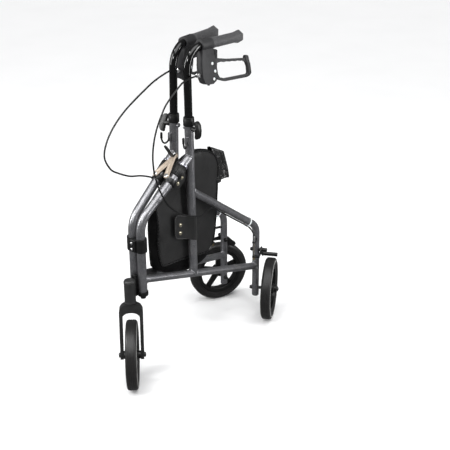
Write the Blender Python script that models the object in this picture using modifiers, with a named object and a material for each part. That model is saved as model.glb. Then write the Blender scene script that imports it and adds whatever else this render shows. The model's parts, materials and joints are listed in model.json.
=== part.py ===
"""Three-wheeled folding rollator walker, half folded.

World frame: +Z up, the walker faces -Y and its user's left side is +X.
Each side frame turns about its own front column, and everything on it is drawn in
that frame's local axes: X outward, Y rearward along the frame, Z up, with the origin
on the front column's axis at floor height.  The right side mirrors the left one.
Lengths are metres and angles are degrees.
"""
import math

import bmesh
import bpy
from mathutils import Matrix, Vector

# Layout of the whole walker
ORIGIN_Y = -0.2225          # moves the head's origin so that the box is centred on Y = 0
FOLD_ANGLE = 6.0            # each frame's angle from straight back, as it stands
COLUMN_OFFSET = 0.0145      # front column axis to the middle plane
FRAME_LENGTH = 0.476        # front column axis to rear leg axis
COLUMN_REACH = 0.199        # front column axis to handle column axis
WHEEL_TOE = 33.0            # the rear axle is square to the walker at this opening
HANDLE_LEAN = 1.0          # the handle column leans inward from its foot

# Tubes
MAIN_RADIUS = 0.0127
RAIL_RADIUS = 0.0111
COLUMN_BORE = 0.0118
SIDES = 16
GAP = 0.0003                # between pieces that touch
SHORT = 0.003               # a mitred tube stops this far before the other tube's axis

# Side frame
FRONT_FOOT_Z = 0.2768
FRONT_CORNER_Z = 0.4874
FRONT_SLOPE = 34.5
FRONT_BEND = 0.067
REAR_START_Z = 0.5205
REAR_CORNER_Z = 0.3190
REAR_BEND = 0.050
LEG_FOOT_Z = 0.0745
RAIL_FRONT_Z = 0.3131
RAIL_REAR_Z = 0.1781
COLUMN_TOP_Z = 0.7295
COLUMN_BORE_Z = 0.300

# Steering head and fork
HEAD_Y = -0.0376
HEAD_RADIUS = 0.0165
HEAD_BOTTOM_Z = 0.2512
HEAD_TOP_Z = 0.3178
HEAD_BORE = 0.0078
STEM_RADIUS = 0.0062
STEM_TOP_Z = 0.298
CASTER_HEADING = 139.0      # from the rear, towards the left, where the front wheel trails
TRAIL = 0.034
FORK_TOP_Z = 0.2489
FORK_HALF = 0.0335
FORK_BLADE = 0.009
FORK_DEPTH = 0.022

# Wheels
WHEEL_RADIUS = 0.100
TYRE_HALF_WIDTH = 0.016
TYRE_SEAT = 0.0778
TYRE_FACETS = 28
SPOKES = 5
HUB_RADIUS = 0.0165
HUB_HALF = 0.0245
AXLE_RADIUS = 0.005
AXLE_BORE = 0.0062
AXLE_HOLE = 0.0057
REAR_WHEEL_OUT = 0.0451     # leg axis to the rear wheel's middle

# Handles
HANDLE_Z = 0.927
HANDLE_END = 0.400
HANDLE_BEND = 0.058
HANDLE_FOOT_Z = 0.450
HOUSING_ROLL = 7.5          # each brake hangs outward around its handle by this angle
LEVER_PIVOT = (0.2852, 0.8515)
KNOB_Z = 0.7065
RIGHT_KNOB_TURN = -28.0      # the right wing knob as it was left
HOOK_TURN = 23.0            # the hooks point this much inward from their frame's plane

# Brakes, in the rear leg's axes
BRAKE_PIVOT_Z = 0.2370
BRAKE_BAR = (0.043, 0.2018)
WIRE_Y = -0.040
STOP_Z = 0.279

# Folding links, in the plane of the sloping front tubes
LINK_LENGTH = 0.076
LINK_BASE = 0.121           # where the link's pivot stands on the sloping tube
LINK_LAYERS = (0.0185, 0.0251)   # underside of the right and the left link
LINK_THICK = 0.003

# Bag: half its thickness at the front, and how fast that grows rearward
BAG_FRONT_HALF = 0.0025
BAG_SPREAD = 0.030
BAG_BODY_HALF = 0.0125

PIECES = bpy.data.collections.new("rollator_walker")
CUTTERS = bpy.data.collections.new("cutters")
MATERIALS = {}


# ---------------------------------------------------------------- helpers

def clear_scene():
    for obj in list(bpy.data.objects):
        bpy.data.objects.remove(obj, do_unlink=True)
    for collection in (PIECES, CUTTERS):
        bpy.context.scene.collection.children.link(collection)


def material(name, colour, roughness, metallic=0.0):
    made = bpy.data.materials.new(name)
    made.use_nodes = True
    shader = made.node_tree.nodes["Principled BSDF"]
    shader.inputs["Base Color"].default_value = (*colour, 1.0)
    shader.inputs["Roughness"].default_value = roughness
    shader.inputs["Metallic"].default_value = metallic
    MATERIALS[name] = made


def make_materials():
    material("frame_paint", (0.17, 0.17, 0.18), 0.38, 0.7)
    material("gloss_black", (0.008, 0.008, 0.009), 0.12)
    material("black_plastic", (0.015, 0.015, 0.016), 0.45)
    material("grip_rubber", (0.045, 0.046, 0.05), 0.7)
    material("tyre_rubber", (0.05, 0.05, 0.052), 0.8)
    material("steel", (0.55, 0.55, 0.55), 0.3, 1.0)
    material("zinc", (0.52, 0.44, 0.34), 0.35, 1.0)
    material("brass", (0.6, 0.42, 0.16), 0.3, 1.0)
    material("bag_vinyl", (0.016, 0.016, 0.017), 0.5)


def empty(name, parent=None, location=(0, 0, 0), turn=0.0):
    made = bpy.data.objects.new(name, None)
    made.parent = parent
    made.location = location
    made.rotation_euler = (0, 0, math.radians(turn))
    PIECES.objects.link(made)
    return made


def add(name, data, parent, slot, origin=(0, 0, 0)):
    """Link an object whose data is in its parent's axes, with its origin moved to a joint."""
    made = bpy.data.objects.new(name, data)
    made.parent = parent
    made.location = origin
    if any(origin):
        data.transform(Matrix.Translation(-Vector(origin)))
    data.materials.clear()
    data.materials.append(MATERIALS[slot])
    PIECES.objects.link(made)
    return made


def as_cutter(data, parent):
    made = bpy.data.objects.new("cutter", data)
    made.parent = parent
    made.hide_render = True
    made.display_type = "WIRE"
    CUTTERS.objects.link(made)
    return made


def boolean(obj, other, operation="DIFFERENCE"):
    step = obj.modifiers.new(operation.lower(), "BOOLEAN")
    step.operation = operation
    step.object = other


def baked(obj):
    """The object's evaluated mesh, with loose caps welded, as new mesh data."""
    bpy.context.view_layer.update()
    graph = bpy.context.evaluated_depsgraph_get()
    mesh = bpy.data.meshes.new_from_object(obj.evaluated_get(graph))
    weld(mesh)
    return mesh


def weld(mesh):
    work = bmesh.new()
    work.from_mesh(mesh)
    bmesh.ops.remove_doubles(work, verts=work.verts, dist=0.000002)
    work.to_mesh(mesh)
    work.free()


def bake_and_drop(obj):
    mesh = baked(obj)
    bpy.data.objects.remove(obj, do_unlink=True)
    return mesh


def shade(mesh):
    mesh.shade_smooth()
    mesh.set_sharp_from_angle(angle=math.radians(35))
    return mesh


def rod(start, end, radius, sides=SIDES, end_radius=None):
    """A cylinder or cone between two points."""
    start, end = Vector(start), Vector(end)
    along = end - start
    work = bmesh.new()
    bmesh.ops.create_cone(work, cap_ends=True, segments=sides, radius1=radius,
                          radius2=radius if end_radius is None else end_radius,
                          depth=along.length)
    turn = along.to_track_quat("Z", "Y").to_matrix().to_4x4()
    bmesh.ops.transform(work, matrix=Matrix.Translation((start + end) / 2) @ turn, verts=work.verts)
    mesh = bpy.data.meshes.new("rod")
    work.to_mesh(mesh)
    work.free()
    return shade(mesh)


def block(low, high):
    low, high = Vector(low), Vector(high)
    work = bmesh.new()
    size = high - low
    bmesh.ops.create_cube(work, size=1.0, matrix=Matrix.Translation((low + high) / 2)
                          @ Matrix.Diagonal((*size, 1.0)))
    mesh = bpy.data.meshes.new("block")
    work.to_mesh(mesh)
    work.free()
    return mesh


def tube_curve(points, radius, sides=SIDES):
    """A round tube or wire along points, as curve data with closed ends."""
    curve = bpy.data.curves.new("tube", "CURVE")
    curve.dimensions = "3D"
    curve.bevel_depth = radius
    curve.bevel_resolution = (sides - 4) // 2
    curve.use_fill_caps = True
    spline = curve.splines.new("POLY")
    spline.points.add(len(points) - 1)
    for place, point in zip(spline.points, points):
        place.co = (*point, 1.0)
    return curve


def tube_mesh(points, radius, sides=SIDES):
    holder = bpy.data.objects.new("tube", tube_curve(points, radius, sides))
    PIECES.objects.link(holder)
    return shade(bake_and_drop(holder))


def rounded_path(corners, radius, steps=6):
    """Straight runs through corners, with every inner corner turned into an arc."""
    corners = [Vector(corner) for corner in corners]
    path = [corners[0]]
    for before, corner, after in zip(corners, corners[1:], corners[2:]):
        back, ahead = (before - corner).normalized(), (after - corner).normalized()
        half = back.angle(ahead) / 2
        centre = corner + (back + ahead).normalized() * radius / math.sin(half)
        first = corner + back * radius / math.tan(half) - centre
        last = corner + ahead * radius / math.tan(half) - centre
        sweep = first.angle(last)
        for step in range(steps + 1):
            path.append(centre + Matrix.Rotation(sweep * step / steps, 3, first.cross(last)) @ first)
    return path + [corners[-1]]


def smooth_path(points, spacing):
    """Points at an even spacing along a smooth curve through the given points."""
    points = [Vector(point) for point in points]
    ends = [points[0] * 2 - points[1]] + points + [points[-1] * 2 - points[-2]]
    fine = []
    for a, b, c, d in zip(ends, ends[1:], ends[2:], ends[3:]):
        for step in range(12):
            t = step / 12
            fine.append(0.5 * (2 * b + (c - a) * t + (2 * a - 5 * b + 4 * c - d) * t ** 2
                               + (3 * b - a - 3 * c + d) * t ** 3))
    fine.append(points[-1])
    length = sum((after - before).length for before, after in zip(fine, fine[1:]))
    count = round(length / spacing)
    path, walked, index = [fine[0]], 0.0, 0
    for number in range(1, count):
        target = length * number / count
        while walked + (fine[index + 1] - fine[index]).length < target:
            walked += (fine[index + 1] - fine[index]).length
            index += 1
        step = fine[index + 1] - fine[index]
        path.append(fine[index] + step * ((target - walked) / step.length))
    return path + [fine[-1]]


def turned(profile, steps=SIDES, half_step=False):
    """A closed profile of (radius, height) turned about Z.  The outer side runs downward."""
    mesh = bpy.data.meshes.new("profile")
    on_axis = profile[0][0] == 0
    edges = [(i, i + 1) for i in range(len(profile) - 1)]
    if not on_axis:
        edges.append((len(profile) - 1, 0))
    mesh.from_pydata([(radius, 0, height) for radius, height in profile], edges, [])
    holder = bpy.data.objects.new("turned", mesh)
    PIECES.objects.link(holder)
    screw = holder.modifiers.new("turn", "SCREW")
    screw.steps = screw.render_steps = steps
    screw.use_merge_vertices = True
    screw.merge_threshold = 0.00001
    made = bake_and_drop(holder)
    if half_step:
        made.transform(Matrix.Rotation(math.pi / steps, 4, "Z"))
    return shade(made)


def outline(loops, low, high):
    """A flat outline of (y, z) points, with any inner loops as holes, thick from low to high in X."""
    curve = bpy.data.curves.new("outline", "CURVE")
    curve.dimensions = "2D"
    curve.fill_mode = "BOTH"
    curve.extrude = (high - low) / 2
    for loop in loops:
        spline = curve.splines.new("POLY")
        spline.points.add(len(loop) - 1)
        spline.use_cyclic_u = True
        for place, (across, up) in zip(spline.points, loop):
            place.co = (across, up, 0, 1)
    holder = bpy.data.objects.new("outline", curve)
    PIECES.objects.link(holder)
    mesh = bake_and_drop(holder)
    # curve X, Y, Z become Y, Z, X
    swap = Matrix(((0, 0, 1, 0), (1, 0, 0, 0), (0, 1, 0, 0), (0, 0, 0, 1)))
    mesh.transform(Matrix.Translation(((low + high) / 2, 0, 0)) @ swap)
    return shade(mesh)


def arc(centre, radius, start, end, steps):
    """Points on an arc from one angle to another."""
    angles = [math.radians(start + (end - start) * step / steps) for step in range(steps + 1)]
    return [(centre[0] + radius * math.cos(a), centre[1] + radius * math.sin(a)) for a in angles]


ALONG_X = Matrix.Rotation(math.radians(90), 4, "Y")
ALONG_Y = Matrix.Rotation(math.radians(-90), 4, "X")


def turned_along(profile, axis, offset=(0, 0, 0), **options):
    mesh = turned(profile, **options)
    mesh.transform(Matrix.Translation(offset) @ axis)
    return mesh


def bolt_profile(steps):
    """Profile of a bolt from (start, end, radius) steps along its axis."""
    points = [(0, steps[-1][1])]
    for low, high, radius in reversed(steps):
        points += [(radius, high), (radius, low)]
    return points + [(0, steps[0][0])]


# ---------------------------------------------------------------- head, fork and front wheel

def make_head(head):
    low_z, high_z = 0.2645, 0.2762
    hub = (0, HEAD_Y)
    body = add("steering_head", rod((*hub, HEAD_BOTTOM_Z), (*hub, HEAD_TOP_Z), HEAD_RADIUS, 24), head,
               "black_plastic")
    boolean(body, as_cutter(rod((*hub, 0.24), (*hub, 0.302), HEAD_BORE), head))
    add("head_cap", rod((*hub, HEAD_TOP_Z + GAP), (*hub, 0.3236), HEAD_RADIUS, 24, 0.0125), head,
        "black_plastic")

    bracket = add("lower_bracket", block((-0.006, -0.030, low_z), (0.006, -0.0110, 0.330)), head,
                  "black_plastic")
    for side in (-1, 1):
        centre = (side * COLUMN_OFFSET, 0)
        boolean(bracket, as_cutter(rod((*centre, low_z), (*centre, high_z), 0.0152), head), "UNION")
    boolean(bracket, as_cutter(rod((*hub, 0.25), (*hub, 0.34), HEAD_RADIUS + GAP, 24), head))
    for side in (-1, 1):
        centre = (side * COLUMN_OFFSET, 0)
        boolean(bracket, as_cutter(rod((*centre, 0.25), (*centre, 0.28), 0.0056), head))

    clamp = add("upper_clamp", block((-0.0105, -0.0215, 0.403), (0.0105, 0.004, 0.437)), head,
                "black_plastic")
    for side in (-1, 1):
        centre = (side * COLUMN_OFFSET, 0)
        boolean(clamp, as_cutter(rod((*centre, 0.400), (*centre, 0.440), 0.0170), head), "UNION")
    for side in (-1, 1):
        centre = (side * COLUMN_OFFSET, 0)
        boolean(clamp, as_cutter(rod((*centre, 0.39), (*centre, 0.45), 0.0134), head))
    for name, height in (("clamp_screw_bottom", 0.411), ("clamp_screw_top", 0.429)):
        add(name, rod((0, -0.0218, height), (0, -0.0255, height), 0.0045, 12), head, "steel")


def make_hinge_pin(head):
    profile = bolt_profile([(0.2545, 0.2642, 0.0080), (0.2642, 0.3050, 0.005)])
    pin = turned(profile, steps=12)
    pin.transform(Matrix.Translation((COLUMN_OFFSET, 0, 0)))
    add("hinge_pin_left", pin, head, "black_plastic")


def make_fork(fork):
    """The fork is drawn along its wheel: X across, Y the way it trails."""
    half, inner = FORK_HALF, FORK_HALF - FORK_BLADE
    foot, shoulder = 0.0925, 0.209
    crown = 0.0245
    loop = [(half, foot)] + arc((half - crown, FORK_TOP_Z - crown), crown, 0, 90, 5)
    loop += [(-x, z) for x, z in reversed(loop)]
    arch = [(inner * math.cos(math.radians(a)), shoulder + 0.0135 * math.sin(math.radians(a)))
            for a in range(180, -1, -20)]
    loop += [(-inner, foot)] + arch + [(inner, foot)]
    mesh = outline([loop], -FORK_DEPTH / 2, FORK_DEPTH / 2)
    mesh.transform(Matrix.Rotation(math.radians(-90), 4, "Z"))
    for vertex in mesh.vertices:
        vertex.co.y += TRAIL * max(0.0, (0.222 - vertex.co.z) / (0.222 - WHEEL_RADIUS))
    body = add("fork", mesh, fork, "gloss_black")
    boolean(body, as_cutter(rod((0, 0, 0.240), (0, 0, STEM_TOP_Z), STEM_RADIUS), fork), "UNION")
    across = 0.05
    boolean(body, as_cutter(rod((-across, TRAIL, WHEEL_RADIUS), (across, TRAIL, WHEEL_RADIUS), AXLE_HOLE),
                            fork))
    out = half + GAP
    steps = [(-0.0380, -out, 0.0075), (-out, out, AXLE_RADIUS), (out, 0.0380, 0.0075)]
    axle = turned_along(bolt_profile(steps), ALONG_X, (0, TRAIL, WHEEL_RADIUS), steps=12)
    add("front_axle", axle, fork, "steel")


def tyre_mesh():
    """A tyre about X, turned so that one flat facet of its tread is underneath."""
    crown = WHEEL_RADIUS / math.cos(math.pi / TYRE_FACETS)
    half = TYRE_HALF_WIDTH
    profile = [(TYRE_SEAT, -half + 0.002), (TYRE_SEAT, half - 0.002), (0.088, half), (0.0965, half - 0.001),
               (crown, 0.0095), (crown, -0.0095), (0.0965, -half + 0.001), (0.088, -half)]
    return turned_along(profile, ALONG_X, steps=TYRE_FACETS, half_step=True)


def wheel_mesh():
    """Rim, five spokes and hub in one moulding, about X."""
    seat, inside = TYRE_SEAT - 0.0006, 0.0645
    rim = [(inside, -0.011), (inside, 0.011), (seat, 0.0135), (seat, -0.0135)]
    holder = bpy.data.objects.new("wheel", turned_along(rim, ALONG_X, steps=TYRE_FACETS, half_step=True))
    PIECES.objects.link(holder)
    parts = [rod((-HUB_HALF, 0, 0), (HUB_HALF, 0, 0), HUB_RADIUS, 20)]
    for number in range(SPOKES):
        spoke = outline([[(-0.0085, 0.010), (0.0085, 0.010), (0.0065, 0.068), (-0.0065, 0.068)]],
                        -0.0055, 0.0055)
        spoke.transform(Matrix.Rotation(math.tau * number / SPOKES, 4, "X"))
        parts.append(spoke)
    helpers = [as_cutter(part, None) for part in parts]
    for helper in helpers:
        boolean(holder, helper, "UNION")
    bore = as_cutter(rod((-0.03, 0, 0), (0.03, 0, 0), AXLE_BORE), None)
    boolean(holder, bore)
    mesh = bake_and_drop(holder)
    for helper in [*helpers, bore]:
        bpy.data.objects.remove(helper, do_unlink=True)
    return shade(mesh)


def make_wheel(place, parent, centre, tyre, wheel):
    for name, data, slot in ((f"{place}_tyre", tyre, "tyre_rubber"), (f"{place}_wheel", wheel,
                                                                      "black_plastic")):
        made = add(name, data.copy(), parent, slot)
        made.location = centre


# ---------------------------------------------------------------- side frame

def lean_x(height):
    """How far inside the frame's plane the leaning handle column stands at a height."""
    return -math.tan(math.radians(HANDLE_LEAN)) * (height - rail_z(COLUMN_REACH))


def front_axis(reach):
    """A point on the sloping front tube's axis, this far behind the front column."""
    rise = math.tan(math.radians(FRONT_SLOPE))
    across = lean_x(FRONT_CORNER_Z + COLUMN_REACH * rise) * reach / COLUMN_REACH
    return Vector((across, reach, FRONT_CORNER_Z + reach * rise))


def rail_z(reach):
    return RAIL_FRONT_Z + (RAIL_REAR_Z - RAIL_FRONT_Z) * reach / FRAME_LENGTH


def rear_z(reach):
    fall = (REAR_CORNER_Z - REAR_START_Z) / (FRAME_LENGTH - COLUMN_REACH)
    return REAR_START_Z + fall * (reach - COLUMN_REACH)


def make_frame_tubes(frame, column_axes, leg):
    column_cut = as_cutter(rod((0, COLUMN_REACH, 0.2), (0, COLUMN_REACH, 0.8), MAIN_RADIUS + GAP),
                           column_axes)
    rail_ends = [(0, reach, rail_z(reach)) for reach in (-0.02, FRAME_LENGTH + 0.02)]
    rail_cut = as_cutter(rod(*rail_ends, RAIL_RADIUS + GAP), frame)

    path = rounded_path([(0, 0, FRONT_FOOT_Z), (0, 0, FRONT_CORNER_Z), front_axis(COLUMN_REACH - SHORT)],
                        FRONT_BEND)
    front = add("front_tube_left", tube_mesh(path, MAIN_RADIUS), frame, "frame_paint")
    boolean(front, column_cut)
    boolean(front, as_cutter(rod((0, 0, 0.26), (0, 0, 0.312), 0.0056), frame))

    column = add("handle_column_left", rod((0, COLUMN_REACH, rail_z(COLUMN_REACH) + 0.004),
                                           (0, COLUMN_REACH, COLUMN_TOP_Z), MAIN_RADIUS), column_axes,
                 "frame_paint")
    boolean(column, as_cutter(rod((0, COLUMN_REACH, COLUMN_BORE_Z), (0, COLUMN_REACH, 0.75),
                                  COLUMN_BORE), column_axes))
    boolean(column, rail_cut)

    front_cut = as_cutter(rod((0, 0, 0.25), (0, 0, 0.40), MAIN_RADIUS + GAP), frame)
    leg_cut = as_cutter(rod((0, FRAME_LENGTH, 0.10), (0, FRAME_LENGTH, 0.25), RAIL_RADIUS + GAP), frame)
    ends = [(0, reach, rail_z(reach)) for reach in (SHORT, FRAME_LENGTH - SHORT)]
    rail = add("lower_rail_left", rod(*ends, RAIL_RADIUS), frame, "frame_paint")
    boolean(rail, front_cut)
    boolean(rail, leg_cut)

    start = COLUMN_REACH + SHORT
    path = rounded_path([(lean_x(REAR_START_Z), start, rear_z(start)), (0, FRAME_LENGTH, REAR_CORNER_Z),
                         (0, FRAME_LENGTH, LEG_FOOT_Z)], REAR_BEND)
    rear = add("rear_tube_left", tube_mesh(path, RAIL_RADIUS), frame, "frame_paint")
    boolean(rear, column_cut)
    for height, radius in ((WHEEL_RADIUS, AXLE_HOLE), (BRAKE_PIVOT_Z, 0.0049)):
        boolean(rear, as_cutter(rod((-0.02, 0, height), (0.02, 0, height), radius), leg))


def make_collar_and_hook(column_axes, hook):
    top, low, lip = 0.7380, 0.7140, 0.7298
    profile = [(0.0131, low), (0.0131, lip), (0.0117, lip), (0.0117, top), (0.0155, top), (0.0155, low)]
    collar = turned(profile)
    collar.transform(Matrix.Translation((0, COLUMN_REACH, 0)))
    add("collar_left", collar, column_axes, "black_plastic")

    wire = smooth_path([(0, -0.0158, 0.6690), (0, -0.0208, 0.6605), (0, -0.0290, 0.6565),
                        (0, -0.0370, 0.6610), (0, -0.0408, 0.6710), (0, -0.0415, 0.6850)], 0.005)
    plate = add("hook_left", block((-0.0065, -0.0165, 0.659), (0.0065, -0.0132, 0.684)), hook,
                "black_plastic")
    boolean(plate, as_cutter(tube_mesh(wire, 0.003, 8), hook), "UNION")


def make_knob(frame):
    wing = [(0.0255, 0.0300), (0.0245, 0.0360), (0.0170, 0.0425), (0.0, 0.0450)]
    wing = [(-across, out) for across, out in wing] + [(a, o) for a, o in reversed(wing[:-1])]
    wing += [(0.0225, 0.0265), (0.0110, 0.0275), (-0.0110, 0.0275), (-0.0225, 0.0265)]
    mesh = outline([[(across, out) for across, out in wing]], -0.0055, 0.0055)
    # outline (y, z, x) becomes (z, x, y): the wing spans Z and stands out along X
    mesh.transform(Matrix(((0, 0, 1, 0), (1, 0, 0, 0), (0, 1, 0, 0), (0, 0, 0, 1))))
    place = Matrix.Translation((0, COLUMN_REACH, KNOB_Z))
    mesh.transform(place)
    knob = add("wing_knob_left", mesh, frame, "black_plastic", (0, COLUMN_REACH, KNOB_Z))
    stem = rod((MAIN_RADIUS + GAP, COLUMN_REACH, KNOB_Z), (0.032, COLUMN_REACH, KNOB_Z), 0.0068)
    boolean(knob, as_cutter(stem, frame), "UNION")


def make_rear_axle(leg):
    hub_end = REAR_WHEEL_OUT + HUB_HALF + GAP
    steps = [(-0.0185, -0.0118, 0.0068), (-0.0118, hub_end, AXLE_RADIUS), (hub_end, 0.0755, 0.0085)]
    add("rear_axle_left", turned_along(bolt_profile(steps), ALONG_X, (0, 0, WHEEL_RADIUS), steps=12), leg, "steel")


# ---------------------------------------------------------------- handles

def handle_path():
    return rounded_path([(0, COLUMN_REACH, HANDLE_FOOT_Z), (0, COLUMN_REACH, HANDLE_Z),
                         (0, HANDLE_END, HANDLE_Z)], HANDLE_BEND, 8)


def make_handle(frame):
    add("handle_tube_left", tube_mesh(handle_path(), RAIL_RADIUS), frame, "gloss_black")
    grip = [(0, 0.4095), (0.0155, 0.4075), (0.0178, 0.4010), (0.0168, 0.3910), (0.0145, 0.3810),
            (0.0145, 0.3000), (0.0158, 0.2892), (0.0117, 0.2892), (0.0117, 0.4012), (0, 0.4012)]
    mesh = turned_along(grip, ALONG_Y, (0, 0, HANDLE_Z))
    add("grip_left", mesh, frame, "grip_rubber")


def make_brake_housing(column_axes, frame):
    loop = [(0.2490, 0.925), (0.2450, 0.905), (0.2392, 0.875), (0.2379, 0.842), (0.2430, 0.8270),
            (0.2560, 0.8195), (0.2740, 0.8180), (0.2860, 0.8240), (0.2932, 0.8370), (0.2938, 0.8640),
            (0.2915, 0.8815), (0.2896, 0.8981), (0.2868, 0.925)]
    body = add("brake_housing_left", outline([loop], -0.0115, 0.0115), frame, "grip_rubber")
    ring = as_cutter(rod((0, 0.2475, HANDLE_Z), (0, 0.2880, HANDLE_Z), 0.0168), frame)
    boolean(body, ring, "UNION")
    boolean(body, as_cutter(tube_mesh(handle_path(), RAIL_RADIUS + 0.0004), column_axes))
    boolean(body, as_cutter(block((-0.0042, 0.266, 0.822), (0.0042, 0.310, 0.892)), frame))
    pivot = (LEVER_PIVOT[0], LEVER_PIVOT[1])
    boolean(body, as_cutter(rod((-0.02, *pivot), (0.02, *pivot), 0.0042), frame))
    add("lever_pin_left", rod((-0.0127, *pivot), (0.0127, *pivot), 0.0034), frame, "steel")


def make_brake_lever(frame):
    """A closed loop with a straight squeeze bar on top, hinged on an eye inside the housing."""
    eye = arc(LEVER_PIVOT, 0.0085, 90, 270, 5)
    nub = arc((0.4234, 0.8640), 0.0068, 10, 170, 5)
    rim = eye + [(0.2970, 0.8320), (0.3026, 0.8235), (0.3266, 0.8145), (0.4175, 0.8085),
                 (0.4302, 0.8110), (0.4356, 0.8185), (0.4343, 0.8440), (0.4311, 0.8585)]
    rim += nub + [(0.4048, 0.8652), (0.3500, 0.8733), (0.3050, 0.8832), (0.2975, 0.8832),
                  (0.2930, 0.8732)]
    hole = [(0.3060, 0.8708), (0.3500, 0.8640), (0.4048, 0.8577), (0.4198, 0.8510), (0.4248, 0.8390),
            (0.4238, 0.8220), (0.4175, 0.8175), (0.3266, 0.8230), (0.3080, 0.8295), (0.3030, 0.8395),
            (0.3025, 0.8590)]
    mesh = outline([rim, hole, arc(LEVER_PIVOT, 0.0042, 0, 330, 11)], -0.0035, 0.0035)
    lever = add("brake_lever_left", mesh, frame, "black_plastic", (0, *LEVER_PIVOT))
    pad = [(0.4238, 0.8150), (0.4311, 0.8125), (0.4356, 0.8185), (0.4343, 0.8440), (0.4311, 0.8585)]
    pad += nub + [(0.4184, 0.8560), (0.4248, 0.8390)]
    boolean(lever, as_cutter(outline([pad], -0.0060, 0.0060), frame), "UNION")


# ---------------------------------------------------------------- rear brakes and cables

def make_brake(leg):
    pivot = (0.0, BRAKE_PIVOT_Z)
    steps = [(-0.0185, -0.0118, 0.0060), (-0.0118, 0.0117, 0.0042), (0.0117, 0.0147, 0.0060),
             (0.0147, 0.0188, 0.0042), (0.0188, 0.0360, 0.0060)]
    add("brake_bolt_left", turned_along(bolt_profile(steps), ALONG_X, (0, *pivot), steps=12), leg, "black_plastic")

    loop = [(-0.0470, 0.2352), (-0.0470, 0.2282), (-0.0120, 0.2267), (0.0040, 0.2217), (0.0360, 0.1955),
            (0.0460, 0.1943), (0.0510, 0.2018), (0.0470, 0.2093), (0.0120, 0.2397), (0.0040, 0.2462),
            (-0.0060, 0.2457), (-0.0120, 0.2397)]
    arm = add("brake_arm_left", outline([loop], 0.0150, 0.0185), leg, "black_plastic", (0, *pivot))
    boolean(arm, as_cutter(rod((0.0165, *BRAKE_BAR), (0.0640, *BRAKE_BAR), 0.0065), leg), "UNION")
    boolean(arm, as_cutter(block((-0.005, -0.0465, 0.2292), (0.0170, -0.0340, 0.2322)), leg), "UNION")
    boolean(arm, as_cutter(rod((0.010, *pivot), (0.022, *pivot), 0.0049), leg))
    boolean(arm, as_cutter(rod((0, WIRE_Y, 0.220), (0, WIRE_Y, 0.241), 0.0018, 12), leg))

    wire = bolt_profile([(0.2197, 0.2289, 0.0040), (0.2289, STOP_Z - GAP, 0.0009)])
    mesh = turned(wire, steps=12)
    mesh.transform(Matrix.Translation((0, WIRE_Y, 0)))
    add("cable_end_left", mesh, leg, "brass")

    stop = add("cable_stop_left", block((-0.006, -0.047, STOP_Z), (0.006, -0.0075, STOP_Z + 0.003)), leg,
               "black_plastic")
    boolean(stop, as_cutter(rod((0, 0, 0.25), (0, 0, 0.30), RAIL_RADIUS + 0.0006), leg))
    boolean(stop, as_cutter(rod((0, WIRE_Y, 0.27), (0, WIRE_Y, 0.29), 0.0043, 12), leg))


CABLE_RADIUS = 0.0025
CABLE_SPACING = 0.014
CABLE_LEFT = [(-0.0027, 0.2372, 0.8496), (0.002, 0.222, 0.8505), (0.008, 0.205, 0.8525),
              (0.013, 0.185, 0.8530), (0.020, 0.1528, 0.8500), (0.026, 0.1229, 0.8360), (0.028, 0.0936, 0.8160),
              (0.028, 0.0725, 0.7925), (0.028, 0.0440, 0.7400), (0.028, 0.0306, 0.6795),
              (0.028, 0.0368, 0.6160), (0.028, 0.0616, 0.5520), (0.028, 0.0936, 0.5076),
              (0.028, 0.1440, 0.4710), (0.028, 0.2047, 0.4494)]
CABLE_RIGHT = [(-0.0027, 0.2372, 0.8496), (0, 0.227, 0.8525), (0.003, 0.214, 0.8550),
               (0.0045, 0.200, 0.8558), (0.0045, 0.1486, 0.8486), (0.003, 0.0942, 0.8353),
               (0.001, -0.0110, 0.7973),
               (0, -0.0755, 0.7540), (0, -0.1011, 0.7060), (0.002, -0.0777, 0.6620),
               (0.006, -0.0408, 0.6368), (0.012, 0.0150, 0.6084), (0.018, 0.0735, 0.5885),
               (0.022, 0.1292, 0.5632), (0.024, 0.165, 0.5360), (0.024, 0.199, 0.5060)]
CABLE_TAIL = [(0.018, 0.242, 0.4520), (0.008, 0.272, 0.4470), (0.003, 0.3017, 0.4278),
              (0.003, 0.3517, 0.3914), (0.003, 0.4017, 0.3550), (0.005, 0.4290, 0.3350),
              (0.011, 0.4395, 0.3215), (0.0185, 0.4428, 0.3080), (0.0218, 0.4425, 0.2950),
              (0.0218, 0.4425, 0.2825)]


def make_cables(left_frame, right_frame):
    add("brake_cable_left", tube_curve(smooth_path(CABLE_LEFT + CABLE_TAIL, CABLE_SPACING), CABLE_RADIUS, 8),
        left_frame, "black_plastic")
    route = [(-out, back, up) for out, back, up in CABLE_RIGHT + CABLE_TAIL]
    add("brake_cable_right", tube_curve(smooth_path(route, CABLE_SPACING), CABLE_RADIUS, 8), right_frame,
        "black_plastic")


# ---------------------------------------------------------------- folding links

def slope_axes():
    """Across, up the slope and square to it, for the plane of the sloping tubes."""
    slope = math.radians(FRONT_SLOPE)
    return (Vector((1, 0, 0)), Vector((0, math.cos(slope), math.sin(slope))),
            Vector((0, -math.sin(slope), math.cos(slope))))


def link_angle(fold, layer):
    """The link's angle from straight across at which its far end reaches the middle plane."""
    fold, slope = math.radians(fold), math.radians(FRONT_SLOPE)
    base = LINK_BASE - layer * math.sin(slope)
    reach = COLUMN_OFFSET + front_axis(LINK_BASE).x * math.cos(fold) + base * math.sin(fold)
    across, along = math.cos(fold) * LINK_LENGTH, math.sin(fold) * math.cos(slope) * LINK_LENGTH
    return math.degrees(math.acos(reach / math.hypot(across, along)) - math.atan2(along, across))


def slope_matrix(layer):
    """From plane axes (across, up the slope, square) at a link's pivot to the frame's axes."""
    across, up, square = slope_axes()
    turn = Matrix((across, up, square)).transposed().to_4x4()
    return Matrix.Translation(front_axis(LINK_BASE) + square * layer) @ turn


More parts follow.
